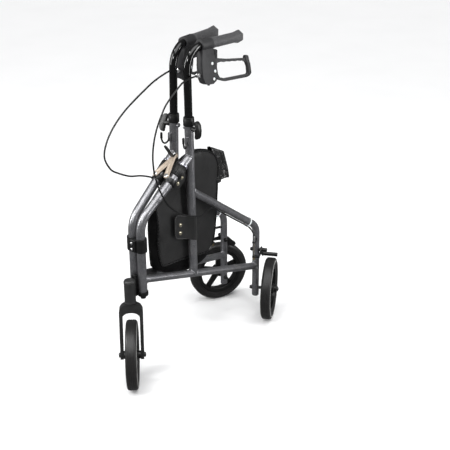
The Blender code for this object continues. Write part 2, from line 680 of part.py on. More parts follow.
def make_sleeve(frame, name, layer, mirror):
    square = slope_axes()[2]
    base = front_axis(LINK_BASE)
    sleeve = add(name, rod(front_axis(0.106), front_axis(0.172), HEAD_RADIUS), frame, "black_plastic")
    for low, high, radius in ((0.012, layer - GAP, 0.0075), (0.014, layer + LINK_THICK + GAP, 0.0030),
                              (layer + LINK_THICK + GAP, layer + LINK_THICK + 0.0025, 0.0062)):
        boolean(sleeve, as_cutter(rod(base + square * low, base + square * high, radius, 12), frame),
                "UNION")
    boolean(sleeve, as_cutter(rod(front_axis(0.08), front_axis(0.19), 0.0134), frame))
    if mirror:
        mirrored(sleeve, name.replace("_left", "_right"))
        bpy.data.objects.remove(sleeve, do_unlink=True)


def link_mesh(layer):
    """A flat link from the pivot at the origin to its apex end, round at both ends."""
    loop = arc((0, 0), 0.0080, 90, 270, 6) + arc((LINK_LENGTH, 0), 0.0080, -90, 90, 6)
    holes = [arc((0, 0), 0.0038, 0, 330, 11), arc((LINK_LENGTH, 0), 0.0034, 0, 330, 11)]
    mesh = outline([loop, *holes], 0, LINK_THICK)
    # the outline's Y, Z, X become the plane's X, Y, Z
    mesh.transform(Matrix(((0, 1, 0, 0), (0, 0, 1, 0), (1, 0, 0, 0), (0, 0, 0, 1))))
    mesh.transform(Matrix.Rotation(math.radians(180 - link_angle(FOLD_ANGLE, layer)), 4, "Z"))
    mesh.transform(slope_matrix(layer))
    return mesh


def make_links(frame):
    """The right link lies under the left one, so both clear each other at every opening."""
    right_layer, left_layer = LINK_LAYERS
    pivot = slope_matrix(right_layer).translation
    lower = add("link_left", link_mesh(right_layer), frame, "zinc", pivot)
    mirrored(lower, "link_right")
    bpy.data.objects.remove(lower, do_unlink=True)
    make_sleeve(frame, "link_sleeve_left", right_layer, True)
    make_sleeve(frame, "link_sleeve_left", left_layer, False)

    pivot = slope_matrix(left_layer).translation
    add("link_left", link_mesh(left_layer), frame, "zinc", pivot)
    turn = Matrix.Rotation(math.radians(180 - link_angle(FOLD_ANGLE, left_layer)), 4, "Z")
    apex = slope_matrix(left_layer) @ turn @ Matrix.Translation((LINK_LENGTH, 0, 0)) @ turn.inverted()
    foot_low, foot_high = LINK_THICK + GAP, 0.0053
    bolt = turned(bolt_profile([(0.0002, foot_high + GAP, 0.0028), (foot_high + GAP, 0.0085, 0.0058)]), 12)
    bolt.transform(apex)
    add("link_bolt", bolt, frame, "steel")

    foot = rod((0, 0, foot_low), (0, 0, foot_high), 0.0078)
    foot.transform(apex)
    lever = add("pull_lever", foot, frame, "black_plastic")
    bar_loop = [(-0.0063, foot_low), (0.0063, foot_low), (0.0063, 0.0430)]
    bar_loop += arc((0, 0.0430), 0.0063, 0, 180, 6)[1:]
    bar = outline([bar_loop, arc((0, 0.0425), 0.0033, 0, 315, 7)], -0.0020, 0.0020)
    # outline Y, Z, X become across, square, up the slope; the bar stands on the foot's lower edge
    bar.transform(Matrix(((0, 1, 0, 0), (1, 0, 0, 0), (0, 0, 1, 0), (0, 0, 0, 1))))
    flip = bmesh.new()
    flip.from_mesh(bar)
    bmesh.ops.reverse_faces(flip, faces=flip.faces)
    flip.to_mesh(bar)
    flip.free()
    bar.transform(apex @ Matrix.Translation((0, -0.0092, 0)))
    boolean(lever, as_cutter(bar, frame), "UNION")
    boolean(lever, as_cutter(transformed_rod(apex, 0.001, 0.007, 0.0034), frame))


def transformed_rod(matrix, low, high, radius):
    mesh = rod((0, 0, low), (0, 0, high), radius, 12)
    mesh.transform(matrix)
    return mesh


# ---------------------------------------------------------------- bag

def make_bag(head):
    """The folded bag: a wedge between the frames, with a thicker body below their slopes."""
    loop = [(0.063, 0.335), (0.070, 0.316), (0.198, 0.266), (0.285, 0.250), (0.318, 0.272),
            (0.330, 0.310), (0.350, 0.496), (0.400, 0.492), (0.401, 0.510), (0.389, 0.568),
            (0.376, 0.584), (0.343, 0.600), (0.293, 0.614), (0.235, 0.622), (0.165, 0.607),
            (0.110, 0.562), (0.063, 0.518)]
    mesh = outline([loop], -1.0, 1.0)
    for vertex in mesh.vertices:
        vertex.co.x *= BAG_FRONT_HALF + BAG_SPREAD * (vertex.co.y - loop[0][0])
    bag = add("bag", mesh, head, "bag_vinyl")
    body = [(0.0634, 0.335), (0.0704, 0.3164), (0.198, 0.2664), (0.285, 0.2504), (0.3176, 0.2724),
            (0.3296, 0.310), (0.3370, 0.420), (0.310, 0.460), (0.100, 0.460), (0.0634, 0.430)]
    boolean(bag, as_cutter(outline([body], -BAG_BODY_HALF, BAG_BODY_HALF), head), "UNION")


# ---------------------------------------------------------------- right side

def mirrored(source, name):
    """A mirror image of a left piece, with its own origin, on the right."""
    flip = Matrix.Diagonal((-1, 1, 1, 1))
    mesh = baked(source)
    mesh.transform(flip)
    mesh.flip_normals()
    made = bpy.data.objects.new(name, mesh)
    made.matrix_world = flip @ source.matrix_world @ flip
    PIECES.objects.link(made)
    shade(mesh)
    return made


def mirror_side():
    asymmetric = {"link_sleeve_left", "brake_cable_left", "link_left"}
    for source in list(PIECES.objects):
        if source.type != "EMPTY" and source.name.endswith("_left") and source.name not in asymmetric:
            made = mirrored(source, source.name.replace("_left", "_right"))
            if source.name == "wing_knob_left":
                made.data.transform(Matrix.Rotation(math.radians(RIGHT_KNOB_TURN), 4, "X"))


def main():
    clear_scene()
    make_materials()
    walker = empty("walker", None, (0, ORIGIN_Y, 0))
    head = empty("head", walker)
    left = empty("left_frame", walker, (COLUMN_OFFSET, 0, 0), -FOLD_ANGLE)
    right = empty("right_frame", walker, (-COLUMN_OFFSET, 0, 0), FOLD_ANGLE)
    leg = empty("left_leg", left, (0, FRAME_LENGTH, 0), WHEEL_TOE)
    foot = Vector((0, COLUMN_REACH, rail_z(COLUMN_REACH)))
    lean = empty("left_lean", left, foot)
    lean.rotation_euler = (0, -math.radians(HANDLE_LEAN), 0)
    column_axes = empty("left_column", lean, -foot)
    hook = empty("left_hook", column_axes, (0, COLUMN_REACH, 0), HOOK_TURN)
    fork = empty("fork_axis", walker, (0, HEAD_Y, 0), -CASTER_HEADING)

    make_head(head)
    make_hinge_pin(head)
    make_bag(head)
    make_fork(fork)
    tyre, wheel = tyre_mesh(), wheel_mesh()
    make_wheel("front", fork, (0, TRAIL, WHEEL_RADIUS), tyre, wheel)

    make_frame_tubes(left, column_axes, leg)
    make_collar_and_hook(column_axes, hook)
    make_knob(column_axes)
    make_rear_axle(leg)
    for name, data, slot in (("rear_tyre_left", tyre, "tyre_rubber"), ("rear_wheel_left", wheel,
                                                                       "black_plastic")):
        add(name, data.copy(), leg, slot).location = (REAR_WHEEL_OUT, 0, WHEEL_RADIUS)
    make_handle(column_axes)
    roll = Matrix.Rotation(-math.radians(HOUSING_ROLL), 3, "Y")
    grip_axis = Vector((0, 0, HANDLE_Z))
    brake_axes = empty("left_brake_axes", column_axes, grip_axis - roll @ grip_axis)
    brake_axes.rotation_euler = roll.to_euler()
    make_brake_housing(column_axes, brake_axes)
    make_brake_lever(brake_axes)
    make_brake(leg)
    make_cables(left, right)
    make_links(left)
    mirror_side()


main()
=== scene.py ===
import json
import math

import bmesh
import bpy
from mathutils import Matrix, Vector
from mathutils.bvhtree import BVHTree

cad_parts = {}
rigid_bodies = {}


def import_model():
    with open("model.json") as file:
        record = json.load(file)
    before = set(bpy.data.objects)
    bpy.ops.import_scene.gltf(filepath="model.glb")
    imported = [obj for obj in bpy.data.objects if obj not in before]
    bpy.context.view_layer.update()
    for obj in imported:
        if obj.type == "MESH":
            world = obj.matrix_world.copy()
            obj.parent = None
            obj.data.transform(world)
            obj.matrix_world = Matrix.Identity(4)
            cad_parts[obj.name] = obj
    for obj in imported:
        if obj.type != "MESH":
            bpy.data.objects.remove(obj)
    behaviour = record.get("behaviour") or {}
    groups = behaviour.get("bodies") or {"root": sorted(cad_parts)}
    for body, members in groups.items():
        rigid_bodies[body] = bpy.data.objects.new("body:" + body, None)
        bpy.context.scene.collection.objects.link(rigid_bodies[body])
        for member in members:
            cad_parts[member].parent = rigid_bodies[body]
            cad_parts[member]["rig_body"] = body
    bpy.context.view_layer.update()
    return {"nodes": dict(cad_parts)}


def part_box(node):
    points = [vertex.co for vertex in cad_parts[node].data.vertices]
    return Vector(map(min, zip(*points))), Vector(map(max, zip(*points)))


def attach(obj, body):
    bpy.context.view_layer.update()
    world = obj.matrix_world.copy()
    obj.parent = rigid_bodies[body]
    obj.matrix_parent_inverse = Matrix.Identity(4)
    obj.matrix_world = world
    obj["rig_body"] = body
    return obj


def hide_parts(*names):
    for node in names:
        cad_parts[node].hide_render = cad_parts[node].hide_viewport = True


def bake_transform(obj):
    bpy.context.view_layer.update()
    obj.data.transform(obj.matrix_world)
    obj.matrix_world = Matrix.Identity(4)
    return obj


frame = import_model()

# ------------------------------------------------------------------ the walker's own axes

# Lengths are in metres and angles in degrees.  "Out" and "reach" run along a side frame, to the rear.
ORIGIN_Y = -0.2225
FOLD_ANGLE = 6.0
COLUMN_OFFSET = 0.0145
FRAME_LENGTH = 0.476
COLUMN_REACH = 0.199
WHEEL_TOE = 33.0
HOOK_TURN = 23.0
HANDLE_LEAN = 1.0
HOUSING_ROLL = 7.5
CASTER_HEADING = 139.0
HEAD_Y = -0.0376
TRAIL = 0.034
MAIN_RADIUS = 0.0127
RAIL_RADIUS = 0.0111
FRONT_FOOT_Z, FRONT_CORNER_Z, FRONT_SLOPE, FRONT_BEND = 0.2768, 0.4874, 34.5, 0.067
REAR_START_Z, REAR_CORNER_Z, REAR_BEND, LEG_FOOT_Z = 0.5205, 0.3190, 0.050, 0.0745
RAIL_FRONT_Z, RAIL_REAR_Z = 0.3131, 0.1781
COLUMN_TOP_Z = 0.7295
WHEEL_RADIUS, REAR_WHEEL_OUT = 0.100, 0.0451
HANDLE_Z, HANDLE_END, HANDLE_BEND, HANDLE_FOOT_Z = 0.927, 0.400, 0.058, 0.450
LEVER_PIVOT = (0.2852, 0.8515)
KNOB_Z = 0.7065
LINK_BASE, LINK_LAYERS, LINK_THICK = 0.121, (0.0185, 0.0251), 0.003
BRAKE_PIVOT_Z, WIRE_Y, STOP_Z = 0.2370, -0.040, 0.279

FLIP = Matrix.Diagonal((-1, 1, 1, 1))


def turn(angle, axis):
    return Matrix.Rotation(math.radians(angle), 4, axis)


def about(point, rotation):
    return Matrix.Translation(point) @ rotation @ Matrix.Translation(-Vector(point))


def aimed(direction):
    """The turn that takes Z to the direction."""
    return Vector(direction).to_track_quat("Z", "Y").to_matrix().to_4x4()


def rail_z(reach):
    return RAIL_FRONT_Z + (RAIL_REAR_Z - RAIL_FRONT_Z) * reach / FRAME_LENGTH


def rear_z(reach):
    share = (reach - COLUMN_REACH) / (FRAME_LENGTH - COLUMN_REACH)
    return REAR_START_Z + (REAR_CORNER_Z - REAR_START_Z) * share


def lean_x(height):
    return -math.tan(math.radians(HANDLE_LEAN)) * (height - rail_z(COLUMN_REACH))


def front_axis(reach):
    rise = math.tan(math.radians(FRONT_SLOPE))
    across = lean_x(FRONT_CORNER_Z + COLUMN_REACH * rise) * reach / COLUMN_REACH
    return Vector((across, reach, FRONT_CORNER_Z + reach * rise))


HEAD = Matrix.Translation((0, ORIGIN_Y, 0))
FRAME = HEAD @ Matrix.Translation((COLUMN_OFFSET, 0, 0)) @ turn(-FOLD_ANGLE, "Z")
COLUMN = FRAME @ about((0, COLUMN_REACH, rail_z(COLUMN_REACH)), turn(-HANDLE_LEAN, "Y"))
BRAKE = COLUMN @ about((0, 0, HANDLE_Z), turn(-HOUSING_ROLL, "Y"))
LEG = FRAME @ Matrix.Translation((0, FRAME_LENGTH, 0)) @ turn(WHEEL_TOE, "Z")
HOOK = COLUMN @ Matrix.Translation((0, COLUMN_REACH, 0)) @ turn(HOOK_TURN, "Z")
FORK = HEAD @ Matrix.Translation((0, HEAD_Y, 0)) @ turn(-CASTER_HEADING, "Z")
ALONG_X = turn(90, "Y")
ALONG_Y = turn(-90, "X")

# ------------------------------------------------------------------ materials


class Nodes:
    """A material's node tree with short calls."""

    def __init__(self, name):
        self.material = bpy.data.materials.new(name)
        self.material.use_nodes = True
        self.tree = self.material.node_tree
        self.shader = self.tree.nodes["Principled BSDF"]
        self.place = self.node("ShaderNodeTexCoord").outputs["Object"]

    def node(self, kind, **values):
        made = self.tree.nodes.new(kind)
        for key, value in values.items():
            setattr(made, key, value)
        return made

    def link(self, source, target):
        self.tree.links.new(source, target)

    def set(self, **values):
        for key, value in values.items():
            self.shader.inputs[key.replace("_", " ")].default_value = value
        return self

    def noise(self, scale, detail=3.0, roughness=0.55, distortion=0.0):
        made = self.node("ShaderNodeTexNoise")
        made.inputs["Scale"].default_value = scale
        made.inputs["Detail"].default_value = detail
        made.inputs["Roughness"].default_value = roughness
        made.inputs["Distortion"].default_value = distortion
        self.link(self.place, made.inputs["Vector"])
        return made.outputs["Fac"]

    def cells(self, scale):
        made = self.node("ShaderNodeTexVoronoi")
        made.inputs["Scale"].default_value = scale
        self.link(self.place, made.inputs["Vector"])
        return made.outputs["Distance"]

    def waves(self, scale, direction):
        made = self.node("ShaderNodeTexWave", bands_direction=direction)
        made.inputs["Scale"].default_value = scale
        self.link(self.place, made.inputs["Vector"])
        return made.outputs["Fac"]

    def math(self, operation, a, b):
        made = self.node("ShaderNodeMath", operation=operation)
        for socket, value in zip(made.inputs, (a, b)):
            if isinstance(value, (int, float)):
                socket.default_value = value
            else:
                self.link(value, socket)
        return made.outputs[0]

    def ramp(self, source, stops):
        made = self.node("ShaderNodeValToRGB")
        ramp = made.color_ramp
        while len(ramp.elements) < len(stops):
            ramp.elements.new(0.5)
        for element, (place, colour) in zip(ramp.elements, stops):
            element.position = place
            element.color = (*colour, 1.0)
        self.link(source, made.inputs["Fac"])
        return made.outputs["Color"]

    def colour(self, source, *stops):
        self.link(self.ramp(source, stops), self.shader.inputs["Base Color"])
        return self

    def rough(self, source, low, high):
        made = self.node("ShaderNodeMapRange")
        made.inputs["To Min"].default_value = low
        made.inputs["To Max"].default_value = high
        self.link(source, made.inputs["Value"])
        self.link(made.outputs[0], self.shader.inputs["Roughness"])
        return self

    def bump(self, *layers):
        """Layers of (height source, distance in metres, strength)."""
        normal = None
        for height, distance, strength in layers:
            made = self.node("ShaderNodeBump")
            made.inputs["Distance"].default_value = distance
            made.inputs["Strength"].default_value = strength
            self.link(height, made.inputs["Height"])
            if normal:
                self.link(normal, made.inputs["Normal"])
            normal = made.outputs["Normal"]
        self.link(normal, self.shader.inputs["Normal"])
        return self


def grey(value, tint=(1.0, 1.0, 1.0)):
    return tuple(value * t for t in tint)


# finish: (material's name, shader settings, colour's texture with its (place, grey or colour) stops,
#          roughness's texture with its range, bump layers of (texture, metres, strength), tint of greys)
FINISHES = {
    "gloss_black": ("gloss_black_paint",
                    dict(Coat_Weight=0.4, Coat_Roughness=0.03, Specular_IOR_Level=0.30),
                    (("noise", 90), (0.3, 0.0012), (0.8, 0.003)), (("noise", 45, 4), 0.10, 0.16),
                    ((("noise", 160, 2), 0.0002, 0.02),)),
    "grip_rubber": ("charcoal_rubber", dict(Sheen_Weight=0.10, Sheen_Roughness=0.5),
                    (("noise", 520, 4, 0.7), (0.28, 0.022), (0.50, 0.050), (0.60, 0.066),
                     (0.68, (0.2, 0.2, 0.2))),
                    (("noise", 260, 4), 0.42, 0.60),
                    ((("noise", 520, 4, 0.7), 0.0006, 0.45), (("noise", 120, 3), 0.0012, 0.35)),
                    (1, 1, 1.05)),
    "housing": ("charcoal_housing", dict(Specular_IOR_Level=0.45),
                (("noise", 75, 4), (0.25, 0.019), (0.85, 0.032)), (("noise", 240, 4), 0.42, 0.58),
                ((("cells", 1100), 0.0002, 0.35), (("noise", 90, 3), 0.0006, 0.15)), (1, 1, 1.06)),
    "black_plastic": ("black_moulding", dict(Specular_IOR_Level=0.45),
                      (("noise", 80, 4), (0.25, 0.003), (0.85, 0.007)), (("noise", 240, 4), 0.30, 0.46),
                      ((("noise", 1400, 2), 0.0002, 0.35),)),
    "powder_black": ("powder_black", dict(Specular_IOR_Level=0.5),
                     (("noise", 80, 4), (0.25, 0.013), (0.85, 0.023)), (("noise", 260, 4), 0.34, 0.50),
                     ((("cells", 1000), 0.0003, 0.40),)),
    "tyre_rubber": ("tyre_rubber", dict(Specular_IOR_Level=0.5),
                    (("noise", 60, 5), (0.25, 0.009), (0.85, 0.018)), (("noise", 200, 4), 0.32, 0.48),
                    ((("noise", 1000, 3), 0.0003, 0.45), (("noise", 25, 2), 0.0008, 0.1)),
                    (1.03, 1, 0.98)),
    # A pale grey for the thin ring on a tyre's sidewall shoulder: a painted highlight for the tyre's lit
    # edge.
    "painted_highlight_ring": ("pale_grey_plastic", dict(Specular_IOR_Level=0.5),
                  (("noise", 90, 4), (0.25, 0.34), (0.85, 0.46)), (("noise", 200, 3), 0.40, 0.55),
                  ((("noise", 900, 2), 0.0002, 0.25),), (1, 1, 0.97)),
    "steel": ("bright_steel", dict(Metallic=1.0),
              (("noise", 120, 3), (0.3, 0.62), (0.8, 0.80)), (("noise", 700, 3), 0.20, 0.38),
              ((("noise", 900, 2), 0.0001, 0.3),)),
    "bright_chrome": ("bright_chrome", dict(Metallic=0.8),
                      (("noise", 120, 3), (0.3, 0.80), (0.8, 0.93)), (("noise", 500, 3), 0.12, 0.26),
                      ((("noise", 700, 2), 0.0001, 0.2),)),
    "patterned_steel": ("patterned_steel", dict(Metallic=0.9),
                        (("cells", 210), (0.15, (0.04, 0.04, 0.07)), (0.38, (0.30, 0.30, 0.30 * 1.15)),
                         (0.7, (0.62, 0.62, 0.62 * 1.1))),
                        (("cells", 210), 0.18, 0.40), ((("cells", 210), 0.0004, 0.5),)),
    "zinc": ("zinc_plate", dict(Metallic=0.35),
             (("cells", 160), (0.1, (0.36, 0.29, 0.225)), (0.8, (0.50, 0.42, 0.34))),
             (("noise", 240, 4), 0.34, 0.52), ((("noise", 500, 3), 0.0002, 0.3),)),
    "brass": ("turned_brass", dict(Metallic=1.0),
              (("noise", 200, 3), (0.3, (0.52, 0.40, 0.20)), (0.8, (0.78, 0.66, 0.42))),
              (("noise", 500, 3), 0.22, 0.38), ((("waves", 900, "Z"), 0.0001, 0.3),)),
    "snap_brass": ("snap_brass", dict(Metallic=1.0),
                   (("noise", 260, 3), (0.3, (0.80, 0.72, 0.52)), (0.8, (0.95, 0.90, 0.74))),
                   (("noise", 400, 3), 0.18, 0.32), ((("noise", 900, 2), 0.0001, 0.2),)),
    "bag_vinyl": ("black_vinyl", dict(Sheen_Weight=0.06, Sheen_Roughness=0.4),
                  (("noise", 30, 5), (0.25, 0.006), (0.85, 0.013)), (("noise", 70, 4), 0.38, 0.54),
                  ((("noise", 22, 4, 0.6, 0.6), 0.003, 0.25), (("cells", 950), 0.0004, 0.55),
                   (("noise", 2600, 2), 0.0002, 0.3))),
    # The gusset's vinyl: a darker, less specular copy of the panels' vinyl, painted shade for the shadow
    # around the panels and in the bag's folds.
    "gusset_vinyl": ("gusset_vinyl", dict(Specular_IOR_Level=0.14),
                     (("noise", 30, 5), (0.25, 0.002), (0.85, 0.005)), (("noise", 70, 4), 0.42, 0.60),
                     ((("noise", 26, 4, 0.6, 0.8), 0.004, 0.35), (("cells", 950), 0.0004, 0.55))),
    "piping_vinyl": ("piping_vinyl", dict(Specular_IOR_Level=0.75),
                     (("noise", 60, 5), (0.25, 0.002), (0.85, 0.005)), (("noise", 120, 4), 0.20, 0.34),
                     ((("noise", 600, 3), 0.0003, 0.30),)),
    "flap_vinyl": ("flap_vinyl", dict(Specular_IOR_Level=0.9),
                   (("noise", 30, 5), (0.25, 0.003), (0.85, 0.008)), (("noise", 70, 4), 0.20, 0.34),
                   ((("noise", 48, 4, 0.6, 1.2), 0.005, 0.55), (("cells", 950), 0.0003, 0.35))),
    "white_nylon": ("white_nylon", dict(Subsurface_Weight=0.1),
                    (("noise", 200), (0.3, 0.66), (0.8, 0.80)), (("noise", 300), 0.36, 0.5),
                    ((("noise", 900), 0.0002, 0.2),)),
}


def finished(name, settings, colour, rough, layers, tint=(1, 1, 1)):
    """A material from a row of FINISHES."""
    m = Nodes(name).set(**settings)

    def texture(row):
        return getattr(m, row[0])(*row[1:])

    m.colour(texture(colour[0]), *[(place, value if isinstance(value, tuple) else grey(value, tint))
                                   for place, value in colour[1:]])
    m.rough(texture(rough[0]), *rough[1:])
    m.bump(*[(texture(row), distance, strength) for row, distance, strength in layers])
    return m.material


def make_materials():
    made = {key: finished(*row) for key, row in FINISHES.items()}
    m = Nodes("hammered_grey_paint").set(Metallic=0.85, Coat_Weight=0.5, Coat_Roughness=0.16)
    speck, cloud = m.cells(560), m.noise(34, 2)
    m.colour(m.math("ADD", m.math("MULTIPLY", speck, 0.6), m.math("MULTIPLY", cloud, 0.4)),
             (0.15, grey(0.125, (1, 1, 1.05))), (0.50, grey(0.240, (1, 1, 1.05))),
             (0.85, grey(0.440, (1, 1, 1.04))))
    m.rough(m.noise(300), 0.24, 0.38)
    m.bump((speck, 0.0005, 0.50), (m.noise(900, 2), 0.0003, 0.30))
    made["frame_paint"] = m.material

    m = Nodes("woven_black_webbing").set(Sheen_Weight=0.25, Sheen_Roughness=0.5)
    weave = m.math("MULTIPLY", m.waves(330, "DIAGONAL"), m.waves(330, "Z"))
    m.colour(weave, (0.2, grey(0.007)), (0.9, grey(0.024)))
    m.rough(weave, 0.62, 0.80)
    m.bump((weave, 0.0005, 0.6))
    made["webbing"] = m.material
    return made


MATERIALS = make_materials()

# ------------------------------------------------------------------ making meshes

WORK = bpy.context.scene.collection


def baked(obj):
    bpy.context.view_layer.update()
    evaluated = obj.evaluated_get(bpy.context.evaluated_depsgraph_get())
    return bpy.data.meshes.new_from_object(evaluated)


def smooth(mesh, angle=32):
    mesh.shade_smooth()
    mesh.set_sharp_from_angle(angle=math.radians(angle))
    return mesh


def piece(name, mesh, body, slot, *nodes, matrix=Matrix(), finish=None):
    """One visible piece: in place, with its material, riding on its body and standing for CAD nodes."""
    obj = mesh if isinstance(mesh, bpy.types.Object) else bpy.data.objects.new(name, mesh)
    obj.name = name
    if obj.name not in WORK.objects:
        WORK.objects.link(obj)
    obj.data.transform(matrix)
    if matrix.determinant() < 0:
        obj.data.flip_normals()
    obj.data.materials.clear()
    obj.data.materials.append(MATERIALS[finish or slot])
    if body:
        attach(obj, body)
    if nodes:
        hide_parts(*nodes)
    return obj


def both(name, mesh, body, slot, *nodes, matrix=Matrix(), finish=None):
    """A left piece and its mirror image."""
    made = []
    for side, flip in (("left", Matrix()), ("right", FLIP)):
        made.append(piece(f"{name}_{side}", mesh.copy(), body.format(side), slot,
                          *[node.format(side) for node in nodes], matrix=flip @ matrix, finish=finish))
    return made


def on_frame(name, mesh, slot, *nodes, matrix=FRAME, finish=None):
    """A piece of the left side frame and its mirror image."""
    return both(name, mesh, "{}_frame", slot, *nodes, matrix=matrix, finish=finish)


def edge_finish(mesh, width, segments=2, angle=34, dissolve=True):
    """Rounds the sharp edges of a mesh, as moulding or deburring does."""
    work = bmesh.new()
    work.from_mesh(mesh)
    bmesh.ops.remove_doubles(work, verts=work.verts, dist=0.00002)
    if dissolve:
        bmesh.ops.dissolve_limit(work, angle_limit=math.radians(1.0), verts=work.verts, edges=work.edges)
    work.to_mesh(mesh)
    work.free()
    holder = bpy.data.objects.new("holder", mesh)
    WORK.objects.link(holder)
    bevel = holder.modifiers.new("edges", "BEVEL")
    bevel.width = width
    bevel.segments = segments
    bevel.limit_method = "ANGLE"
    bevel.angle_limit = math.radians(angle)
    bevel.miter_outer = "MITER_ARC"
    made = baked(holder)
    bpy.data.objects.remove(holder)
    return smooth(made, 38)


def refine(node, width, slot, segments=2, angle=34, body=None, finish=None):
    """The CAD node's own shape with rounded edges."""
    mesh = edge_finish(frame["nodes"][node].data.copy(), width, segments, angle)
    return piece(node + "_part", mesh, body or frame["nodes"][node]["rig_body"], slot, node,
                 finish=finish)


def from_bmesh(work, angle=32):
    """The finished mesh, with its edges sharper than the angle marked unless it is None."""
    mesh = bpy.data.meshes.new("mesh")
    work.to_mesh(mesh)
    work.free()
    return mesh if angle is None else smooth(mesh, angle)


def welded(mesh):
    work = bmesh.new()
    work.from_mesh(mesh)
    bmesh.ops.remove_doubles(work, verts=work.verts, dist=0.00001)
    work.to_mesh(mesh)
    work.free()
    return mesh


def baked_once(data):
    """The mesh of a curve, or of a mesh as it is, by way of an object that is then thrown away."""
    holder = bpy.data.objects.new("holder", data)
    WORK.objects.link(holder)
    made = baked(holder)
    bpy.data.objects.remove(holder)
    return made


def rod(start, end, radius, sides=32):
    start, end = Vector(start), Vector(end)
    along = end - start
    work = bmesh.new()
    bmesh.ops.create_cone(work, cap_ends=True, segments=sides, radius1=radius, radius2=radius,
                          depth=along.length)
    turned_to = aimed(along)
    bmesh.ops.transform(work, matrix=Matrix.Translation((start + end) / 2) @ turned_to, verts=work.verts)
    return from_bmesh(work)


def straight_spline(curve, points, closed=False):
    spline = curve.splines.new("POLY")
    spline.points.add(len(points) - 1)
    spline.use_cyclic_u = closed
    for place, point in zip(spline.points, points):
        place.co = (*point, 1.0)
    return spline.points


def tube(points, radius, sides=32):
    curve = bpy.data.curves.new("tube", "CURVE")
    curve.dimensions = "3D"
    curve.bevel_depth = radius
    curve.bevel_resolution = (sides - 4) // 2
    curve.use_fill_caps = True
    straight_spline(curve, points)
    return smooth(welded(baked_once(curve)), 40)


def rounded_path(corners, radius, steps=14):
    corners = [Vector(corner) for corner in corners]
    path = [corners[0]]
    for before, corner, after in zip(corners, corners[1:], corners[2:]):
        back, ahead = (before - corner).normalized(), (after - corner).normalized()
        half = back.angle(ahead) / 2
        centre = corner + (back + ahead).normalized() * radius / math.sin(half)
        first = corner + back * radius / math.tan(half) - centre
        last = corner + ahead * radius / math.tan(half) - centre
        sweep = first.angle(last)
        for step in range(steps + 1):
            path.append(centre + Matrix.Rotation(sweep * step / steps, 3, first.cross(last)) @ first)
    return path + [corners[-1]]


def smooth_path(points, spacing):
    points = [Vector(point) for point in points]
    ends = [points[0] * 2 - points[1]] + points + [points[-1] * 2 - points[-2]]
    fine = []
    for a, b, c, d in zip(ends, ends[1:], ends[2:], ends[3:]):
        for step in range(12):
            t = step / 12
            fine.append(0.5 * (2 * b + (c - a) * t + (2 * a - 5 * b + 4 * c - d) * t ** 2
                               + (3 * b - a - 3 * c + d) * t ** 3))
    fine.append(points[-1])
    length = sum((after - before).length for before, after in zip(fine, fine[1:]))
    count = max(2, round(length / spacing))
    path, walked, index = [fine[0]], 0.0, 0
    for number in range(1, count):
        target = length * number / count
        while walked + (fine[index + 1] - fine[index]).length < target:
            walked += (fine[index + 1] - fine[index]).length
            index += 1
        step = fine[index + 1] - fine[index]
        path.append(fine[index] + step * ((target - walked) / step.length))
    return path + [fine[-1]]


def mirrored(profile):
    """The upper half of a profile, completed with its mirror image."""
    return profile + [(radius, -height) for radius, height in profile[::-1]]


def revolve(profile, matrix=Matrix(), steps=64, angle=32):
    """A profile of (radius, height) turned about Z.  The outer side runs downward."""
    work = bmesh.new()
    closed = profile[0][0] > 0
    rings = []
    for radius, height in profile:
        if radius <= 0:
            rings.append([work.verts.new((0, 0, height))])
        else:
            rings.append([work.verts.new((radius * math.cos(math.tau * i / steps),
                                          radius * math.sin(math.tau * i / steps), height))
                          for i in range(steps)])
    pairs = list(zip(rings, rings[1:])) + ([(rings[-1], rings[0])] if closed else [])
    for upper, lower in pairs:
        for i in range(steps):
            j = (i + 1) % steps
            if len(upper) == 1:
                work.faces.new((upper[0], lower[i], lower[j]))
            elif len(lower) == 1:
                work.faces.new((upper[j], upper[i], lower[0]))
            else:
                work.faces.new((upper[j], upper[i], lower[i], lower[j]))
    bmesh.ops.recalc_face_normals(work, faces=work.faces)
    mesh = from_bmesh(work, None)
    mesh.transform(matrix)
    return smooth(mesh, angle)


def outline(loops, low, high):
    """A flat outline of (y, z) points, with any inner loops as holes, thick from low to high in X."""
    curve = bpy.data.curves.new("outline", "CURVE")
    curve.dimensions = "2D"
    curve.fill_mode = "BOTH"
    curve.extrude = (high - low) / 2
    for loop in loops:
        straight_spline(curve, [(across, up, 0) for across, up in loop], True)
    mesh = welded(baked_once(curve))
    swap = Matrix(((0, 0, 1, 0), (1, 0, 0, 0), (0, 1, 0, 0), (0, 0, 0, 1)))
    mesh.transform(Matrix.Translation(((low + high) / 2, 0, 0)) @ swap)
    return mesh


def arc(centre, radius, start, end, steps):
    angles = [math.radians(start + (end - start) * step / steps) for step in range(steps + 1)]
    return [(centre[0] + radius * math.cos(a), centre[1] + radius * math.sin(a)) for a in angles]


def soft_loop(loop, radius, steps=4):
    """Rounds the corners of a closed (y, z) loop."""
    made = []
    count = len(loop)
    for i in range(count):
        corner = Vector(loop[i])
        back, ahead = Vector(loop[i - 1]) - corner, Vector(loop[(i + 1) % count]) - corner
        reach = min(radius, 0.45 * back.length, 0.45 * ahead.length)
        first, last = corner + back.normalized() * reach, corner + ahead.normalized() * reach
        for step in range(steps + 1):
            t = step / steps
            made.append(tuple(first.lerp(corner, t).lerp(corner.lerp(last, t), t)))
    return made


def joined(*meshes):
    work = bmesh.new()
    for mesh in meshes:
        work.from_mesh(mesh)
    return from_bmesh(work, 36)


